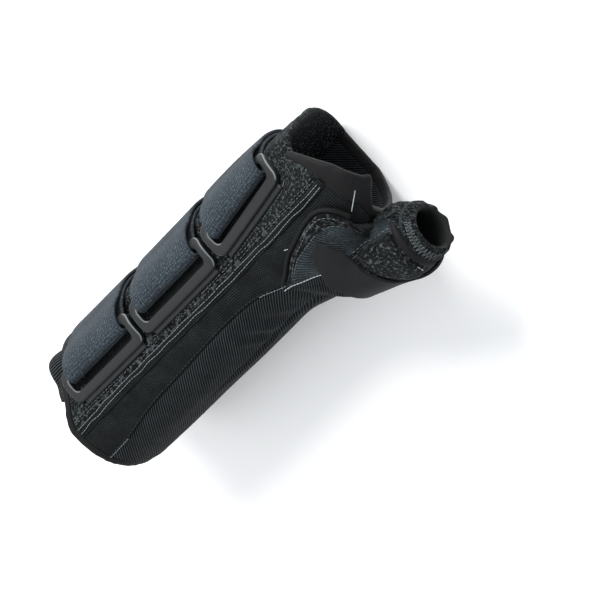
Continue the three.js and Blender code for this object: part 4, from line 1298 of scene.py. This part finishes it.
def sleeve_cloths(turn, share):
    """Which cloth the sleeve shows at a place: 0 loops, 1 mesh, 2 knit, 3 ribs."""
    strip = (share < value(MESH_EDGE, "far", turn)) | (
        (turn > value(MESH_SIDE, "turn", share)) & (turn < 0.55) & (share > 0.2) & (share < 0.84))
    fuzzy = (turn < 0.14) & (turn > -0.12) & (share > 0.42) & (share < 0.84)
    ribbed = (turn < value(PALM_STITCHES, "turn", share)) & (share < 0.32)
    cloth = np.full(np.broadcast_shapes(turn.shape, share.shape), 2)
    cloth[np.broadcast_to(fuzzy, cloth.shape)] = 0
    cloth[np.broadcast_to(strip, cloth.shape)] = 1
    cloth[np.broadcast_to(ribbed, cloth.shape)] = 3
    cloth[np.broadcast_to(share > 0.87, cloth.shape)] = 0
    return cloth


def make_sleeve():
    """The padded tube; its foot stands on the thumb side and runs out flat on the palm side."""
    around = 300
    turn = (np.arange(around) / around)[None, :]
    signed = np.where(turn > 0.5, turn - 1, turn)
    outer = spread(SLEEVE_LENGTH, 5, 0.55, 1.4)[:, None]
    edge = rounding(np.minimum(outer, 1 - outer) * SLEEVE_LENGTH, 1.4)
    half = np.maximum(edge, 0.12) * THUMB_WALL / 2
    flat_foot = ease(signed, -0.5, -0.4) * (1 - ease(signed, 0.0, 0.04)) * (1 - ease(outer, 0, 0.2))
    on_shell = -(THUMB_WALL + 2 * GAP)
    cloth = sleeve_cloths(signed, outer)
    lumps = 0.3 * folds(outer * SLEEVE_LENGTH, turn * SLEEVE_GIRTH, (1.5, 1.6), 73) * (cloth == 1)
    relief = sleeve_relief(turn, outer) * edge + lumps * edge
    ragged = outer + 0.012 * np.sin(2 * np.pi * 13 * turn + 2 * np.sin(12 * turn)) * ease(outer, 0.94, 1)
    top = sleeve(turn, ragged, mix(-THUMB_WALL / 2 + half + relief, on_shell + 0.12, flat_foot))
    inner = outer[::-1][::2]
    inner_lift = mix(on_shell + 0.05, -THUMB_WALL / 2 - half[::-1][::2], ease(inner, 0.03, 0.09))
    under = sleeve(turn, inner, mix(inner_lift, on_shell - 1.2, flat_foot[::-1][::2]))
    rings = np.concatenate([top, under])
    flat = np.concatenate([outer * np.ones_like(turn), inner * np.ones_like(turn)])
    uv = np.stack([flat * SLEEVE_LENGTH, np.broadcast_to(turn * SLEEVE_GIRTH, flat.shape)], -1)
    # the ribs run on from the palm side, so they keep its directions
    x, angle = place_on_shell(top)
    on_palm = np.stack([x, angle * PALM_MM_PER_DEGREE], -1)
    uv[:len(top)] = np.where((cloth == 3)[..., None], on_palm, uv[:len(top)])
    piece = closed_tube("thumb_tube", rings, uv, LOOP)
    faces = cloth[:-1]
    for number, material in ((1, MESH), (2, KNIT), (3, RIBBED)):
        line_with(piece, np.flatnonzero(faces.ravel() == number), material)
    inside = np.arange(faces.size, len(piece.data.polygons))
    line_with(piece, inside, SMOOTH)
    finish_piece(piece, "loop", "thumb_sleeve")


def sleeve_sheet(name, node, edges, thickness, material, slot, sizes):
    """A piece of cloth lying on the sleeve between the two edges of a table."""
    a = spread(sizes[0], 4, 0.6, 0.8)[None, :]
    s = spread(sizes[1], 4, 0.5, 0.8)[:, None]
    turn = mix(edges["at"][0], edges["at"][-1], a)
    place = mix(value(edges, "near", turn), value(edges, "far", turn), s)
    edge = edge_share(s, a, sizes[1], sizes[0], 0.8)
    uneven = 0.16 * folds(place * SLEEVE_LENGTH, turn * SLEEVE_GIRTH, (7, 9), 81)
    top = sleeve(turn, place, TRIM_GAP + thickness * np.maximum(edge, 0.2) + uneven * edge)
    under = sleeve(turn, place, TRIM_GAP + 0 * edge)
    piece = closed_sheet(name, top, under, cloth_uv(top), material)
    finish_piece(piece, slot, node)
    length = float(lengths_along(top.swapaxes(0, 1)).max())
    width = float(lengths_along(top).max())
    if width < 10:
        return


def make_sleeve_trim():
    sleeve_sheet(
        "thumb_wrap", "thumb_strap", THUMB_STRAP_EDGES, THUMB_STRAP_THICKNESS, SMOOTH, "smooth", (62, 20))
    sleeve_sheet(
        "thumb_loop_patch", "thumb_patch", THUMB_PATCH_EDGES, THUMB_PATCH_THICKNESS, LOOP, "loop", (25, 10))
    sleeve_sheet(
        "thumb_band", "thumb_rim_band", RIM_BAND_EDGES, RIM_BAND_THICKNESS, BINDING, "smooth", (28, 2.2))


def make_sleeve_bead():
    """The rolled edge round the sleeve's foot, a soft cord covered with binding."""
    steps, sides = 260, 14
    turn = np.linspace(*BEAD_TURNS, steps + 1)
    x, around, _, rise = foot(turn)
    seat = surface(x, around, GAP)
    outward = surface(x, around, GAP + 1) - seat
    along = unit(np.gradient(seat, axis=0))
    away = unit(np.cross(along, outward))
    lean = THUMB_WALL / 2 * np.sin(np.radians(rise))
    centre = seat - away * (GAP + BEAD_WIDTH / 2 + lean)[:, None] + outward * (BEAD_HEIGHT / 2 + GAP)
    length = lengths_along(centre)
    circle = np.linspace(0, 2 * np.pi, sides, endpoint=False)
    twist = 1 + 0.08 * folds(length[:, None], circle[None, :] * 2, (2.2, 2), 91)
    shrink = np.minimum(rounding(length, 1.5), rounding(length[-1] - length, 1.5))[:, None].clip(0.1)
    points = (
        centre[:, None] + away[:, None] * (BEAD_WIDTH / 2 * np.cos(circle) * twist * shrink)[..., None]
        + outward[:, None] * (BEAD_HEIGHT / 2 * np.sin(circle) * twist * shrink)[..., None])
    uv = np.stack(np.broadcast_arrays(length[:, None], circle[None, :] * BEAD_WIDTH / 2), -1)
    piece = closed_tube("rolled_edge", points, uv, BINDING, ends_open=False)
    finish_piece(piece, "binding", "thumb_base_binding")


# Stitching

def stitch_tree():
    """Geometry nodes that sew one row of stitches along a path of points."""
    tree = bpy.data.node_groups.new("stitch_row", "GeometryNodeTree")
    face = tree.interface
    face.new_socket("Geometry", in_out="INPUT", socket_type="NodeSocketGeometry")
    for name in ("Pitch", "Stitch length", "Thread radius"):
        face.new_socket(name, in_out="INPUT", socket_type="NodeSocketFloat")
    face.new_socket("Thread", in_out="INPUT", socket_type="NodeSocketMaterial")
    face.new_socket("Geometry", in_out="OUTPUT", socket_type="NodeSocketGeometry")
    given = add_node(tree, "NodeGroupInput").outputs
    curve = add_node(tree, "GeometryNodeMeshToCurve", {"Mesh": given["Geometry"]})
    spaced = add_node(tree, "GeometryNodeResampleCurve", {"Curve": curve.outputs["Curve"]})
    spaced.mode = "LENGTH"
    tree.links.new(given["Pitch"], spaced.inputs["Length"])
    points = add_node(
        tree, "GeometryNodeCurveToPoints", {"Curve": spaced.outputs["Curve"]}, mode="EVALUATED")
    turn = add_node(
        tree, "FunctionNodeAlignRotationToVector", {"Vector": points.outputs["Tangent"]}, axis="X")
    thread = add_node(tree, "GeometryNodeMeshUVSphere", {"Segments": 8, "Rings": 6, "Radius": 1.0})
    half = add_node(tree, "ShaderNodeMath", {0: given["Stitch length"], 1: 0.5}, operation="MULTIPLY")
    size = add_node(tree, "ShaderNodeCombineXYZ", {
        "X": half.outputs["Value"], "Y": given["Thread radius"], "Z": given["Thread radius"]})
    sewn = add_node(tree, "GeometryNodeInstanceOnPoints", {
        "Points": points.outputs["Points"], "Instance": thread.outputs["Mesh"],
        "Rotation": turn.outputs["Rotation"], "Scale": size.outputs["Vector"]})
    real = add_node(tree, "GeometryNodeRealizeInstances", {"Geometry": sewn.outputs["Instances"]})
    smooth = add_node(tree, "GeometryNodeSetShadeSmooth", {"Geometry": real.outputs["Geometry"]})
    coloured = add_node(tree, "GeometryNodeSetMaterial", {
        "Geometry": smooth.outputs["Geometry"], "Material": given["Thread"]})
    output = add_node(tree, "NodeGroupOutput")
    tree.links.new(coloured.outputs["Geometry"], output.inputs["Geometry"])
    return tree


STITCH_TREE = stitch_tree()
STITCH_SOCKETS = {
    item.name: item.identifier for item in STITCH_TREE.interface.items_tree
    if item.item_type == "SOCKET" and item.in_out == "INPUT"}


def sew(name, paths, slot, thread, pitch=1.9, stitch=1.5, radius=0.17):
    """Rows of stitches along paths of points in millimetres, as one piece."""
    points, edges = [], []
    for path in paths:
        first = len(points)
        points += ((path + ORIGIN) * MM).tolist()
        edges += [(first + i, first + i + 1) for i in range(len(path) - 1)]
    mesh = bpy.data.meshes.new(name)
    mesh.from_pydata(points, edges, [])
    piece = bpy.data.objects.new(name, mesh)
    bpy.context.scene.collection.objects.link(piece)
    modifier = piece.modifiers.new("stitches", "NODES")
    modifier.node_group = STITCH_TREE
    sizes = {
        "Pitch": pitch * MM, "Stitch length": stitch * MM, "Thread radius": radius * MM, "Thread": thread}
    for socket, given in sizes.items():
        modifier[STITCH_SOCKETS[socket]] = given
    apply_modifiers(piece)
    finish_piece(piece, slot)
    return piece


def shell_path(x_places, angles, lift):
    return surface(np.asarray(x_places, float), np.asarray(angles, float), lift)


def make_stitching(places):
    s = np.linspace(0.01, 0.985, 180)
    arc = degrees_for(1.0)

    def along_tape(offset, seed, lift, wander):
        angle = tape_seam(s) + arc * (offset + 0.0 * s)
        x = panel_x(s, angle)
        drift = 0.75 * (1 - ease(x, 60, 150)) - 0.1
        return shell_path(x, angle + arc * (drift + wander * folds(x, 0 * x, (6, 9), seed)), lift)

    tape_lift = GAP + TAPE_THICKNESS + 0.02
    rows = [along_tape(-0.7, 3, tape_lift - 0.1, 0.22), along_tape(0.72, 4, tape_lift, 0.22)]
    sew("tape_stitches", rows, "twill", PALE_THREAD, pitch=1.7, stitch=1.8, radius=0.15)
    rows = [along_tape(2.6, 5, 0.15, 0.35), along_tape(3.9, 6, 0.2, 0.4)]
    sew("tape_side_stitches", rows, "twill", GREY_THREAD, pitch=2.1, stitch=1.5, radius=0.13)

    flange_rows = []
    for place in places:
        along = np.linspace(-BUCKLE_LENGTH / 2 + 1, BUCKLE_LENGTH / 2 - 1, 60)
        curve = 1.6 * ease(np.abs(along), BUCKLE_LENGTH / 2 - 5, BUCKLE_LENGTH / 2 - 1)
        flange_rows.append(place(along, -FLANGE_WIDTH - 0.5 + curve, np.full(60, 0.15)))
    sew("buckle_stitches", flange_rows, "plastic", GREY_THREAD, pitch=1.8, stitch=1.7, radius=0.14)

    s = np.linspace(0.0, 0.66, 120)
    seam_rows = [shell_path(panel_x(s, palm_seam(s) + 1.2 * arc), palm_seam(s) + 1.2 * arc, 0.12)]
    sew("palm_seam_stitches", seam_rows, "ribbed", DARK_THREAD, pitch=2.1, stitch=1.7, radius=0.15)
    s = np.linspace(0.0, 0.075, 30)
    ends = [shell_path(panel_x(s, palm_seam(s)), palm_seam(s) + 0.4 * arc, 0.2)]
    s = np.linspace(0.64, 0.7, 30)
    ends.append(shell_path(panel_x(s, palm_seam(s)), palm_seam(s) + 0.4 * arc, 0.25))
    sew("palm_seam_ends", ends, "ribbed", PALE_THREAD, pitch=1.5, stitch=1.6, radius=0.15)

    share = np.linspace(0.0, 0.28, 60)
    up_palm = [sleeve(value(PALM_STITCHES, "turn", share) + 0.002, share, 0.4)]
    sew("sleeve_palm_stitches", up_palm, "loop", WHITE_THREAD, pitch=1.5, stitch=1.65, radius=0.17)

    turns = np.linspace(0.02, 0.4, 90)
    foot_rows = [sleeve(turns, 0.035, 0.15), sleeve(turns, value(MESH_EDGE, "far", turns) + 0.012, 0.0)]
    share = np.linspace(0.46, 0.84, 50)
    foot_rows.append(sleeve(0.142 + 0.03 * ease(share, 0.6, 0.78), share, 0.2))
    share = np.linspace(0.02, 0.16, 20)
    foot_rows.append(sleeve(0.282 + 0 * share, share, 0.3))
    sew("sleeve_stitches", foot_rows, "loop", GREY_THREAD, pitch=1.9, stitch=1.6, radius=0.14)

    turns = np.linspace(-0.09, 0.2, 30)
    zigzag = np.where(np.arange(30) % 2, 0.9, 0.97)
    step = np.linspace(0, 29, 240)
    sewn = sleeve(np.interp(step, np.arange(30), turns), np.interp(step, np.arange(30), zigzag), 0.45)
    sew("rim_zigzag", [sewn], "loop", GREY_THREAD, pitch=0.8, stitch=0.95, radius=0.12)

    tacks = []
    for step in range(5):
        shift = (step - 2) * 0.26
        tacks.append(shell_path([169.4 + shift, 175.8 + shift], [-32.0 + shift, -26.1 + shift], 0.6))
    tacks.append(sleeve(np.array([-0.062, -0.045]), np.array([0.845, 0.845]), 1.9))
    tacks.append(shell_path([135.0, 136.2], [-10.6, -11.6], 0.3))
    sew("bartack", tacks, "binding", WHITE_THREAD, pitch=1.5, stitch=1.9, radius=0.18)


# Floor, lights and camera

def make_floor():
    size = 3.0
    mesh = bpy.data.meshes.new("floor")
    corners = [(-size, -size, 0), (size, -size, 0), (size, size, 0), (-size, size, 0)]
    mesh.from_pydata(corners, [], [(0, 1, 2, 3)])
    mesh.materials.append(white_floor())
    floor = bpy.data.objects.new("floor", mesh)
    bpy.context.scene.collection.objects.link(floor)
    floor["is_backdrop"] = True


def look_along(obj, forward, up):
    forward = Vector(forward).normalized()
    up = (Vector(up) - forward * Vector(up).dot(forward)).normalized()
    right = forward.cross(up)
    obj.rotation_euler = Matrix((right, up, -forward)).transposed().to_euler()


def add_light(name, place, target, size, power):
    data = bpy.data.lights.new(name, "AREA")
    data.shape = "DISK"
    data.size = size
    data.energy = power
    lamp = bpy.data.objects.new(name, data)
    lamp.location = place
    look_along(lamp, Vector(target) - Vector(place), (0, 0, 1))
    bpy.context.scene.collection.objects.link(lamp)


def make_lights():
    world = bpy.data.worlds.new("soft_studio")
    world.use_nodes = True
    background = world.node_tree.nodes["Background"]
    background.inputs["Color"].default_value = linear("f2f5f8")
    background.inputs["Strength"].default_value = 0.9
    bpy.context.scene.world = world
    # shown without a film curve, so that the floor is as white as paper and the cloth as dark as it is
    bpy.context.scene.view_settings.view_transform = "Standard"
    add_light("key", (0.3, 0.95, 0.8), (0, 0, 0.04), 0.6, 21.0)
    add_light("fill", (-0.6, 0.2, 0.9), (0, 0, 0.04), 0.9, 3.0)


# The camera stands at the photograph's viewing angle: azimuth 90, elevation 60, rolled so that
# the splint's forearm end points to the lower left.
def make_camera():
    distance, focal = 575.0, 1337.0
    back = np.array([0.5, 0.0, math.sqrt(0.75)])
    along = np.array([math.sqrt(0.75), 0.0, -0.5])
    across = np.array([0.0, 1.0, 0.0])
    right = 0.713 * along - 0.701 * across
    up = 0.701 * along + 0.713 * across
    target = np.array([90.0, 0.0, 34.0]) + ORIGIN
    data = bpy.data.cameras.new("camera")
    data.sensor_width = 36.0
    data.lens = 36.0 * focal / 600.0
    data.clip_start, data.clip_end = 0.01, 20.0
    camera = bpy.data.objects.new("camera", data)
    camera.location = Vector((target + distance * back) * MM)
    forward = -back * focal + right * 67.0 - up * 22.0
    look_along(camera, forward, up)
    bpy.context.scene.collection.objects.link(camera)
    bpy.context.scene.camera = camera


make_camera()
make_lights()
make_floor()
make_panels()
make_back_panel()
make_elastic_roll()
make_bindings()
make_seam_tape()
BUCKLE_PLACES = make_fastenings()
make_sleeve()
make_sleeve_trim()
make_sleeve_bead()
make_stitching(BUCKLE_PLACES)

({
    "cad": [list(corner) for corner in CAD_BOX],
    "visual": [list(corner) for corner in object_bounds()]})
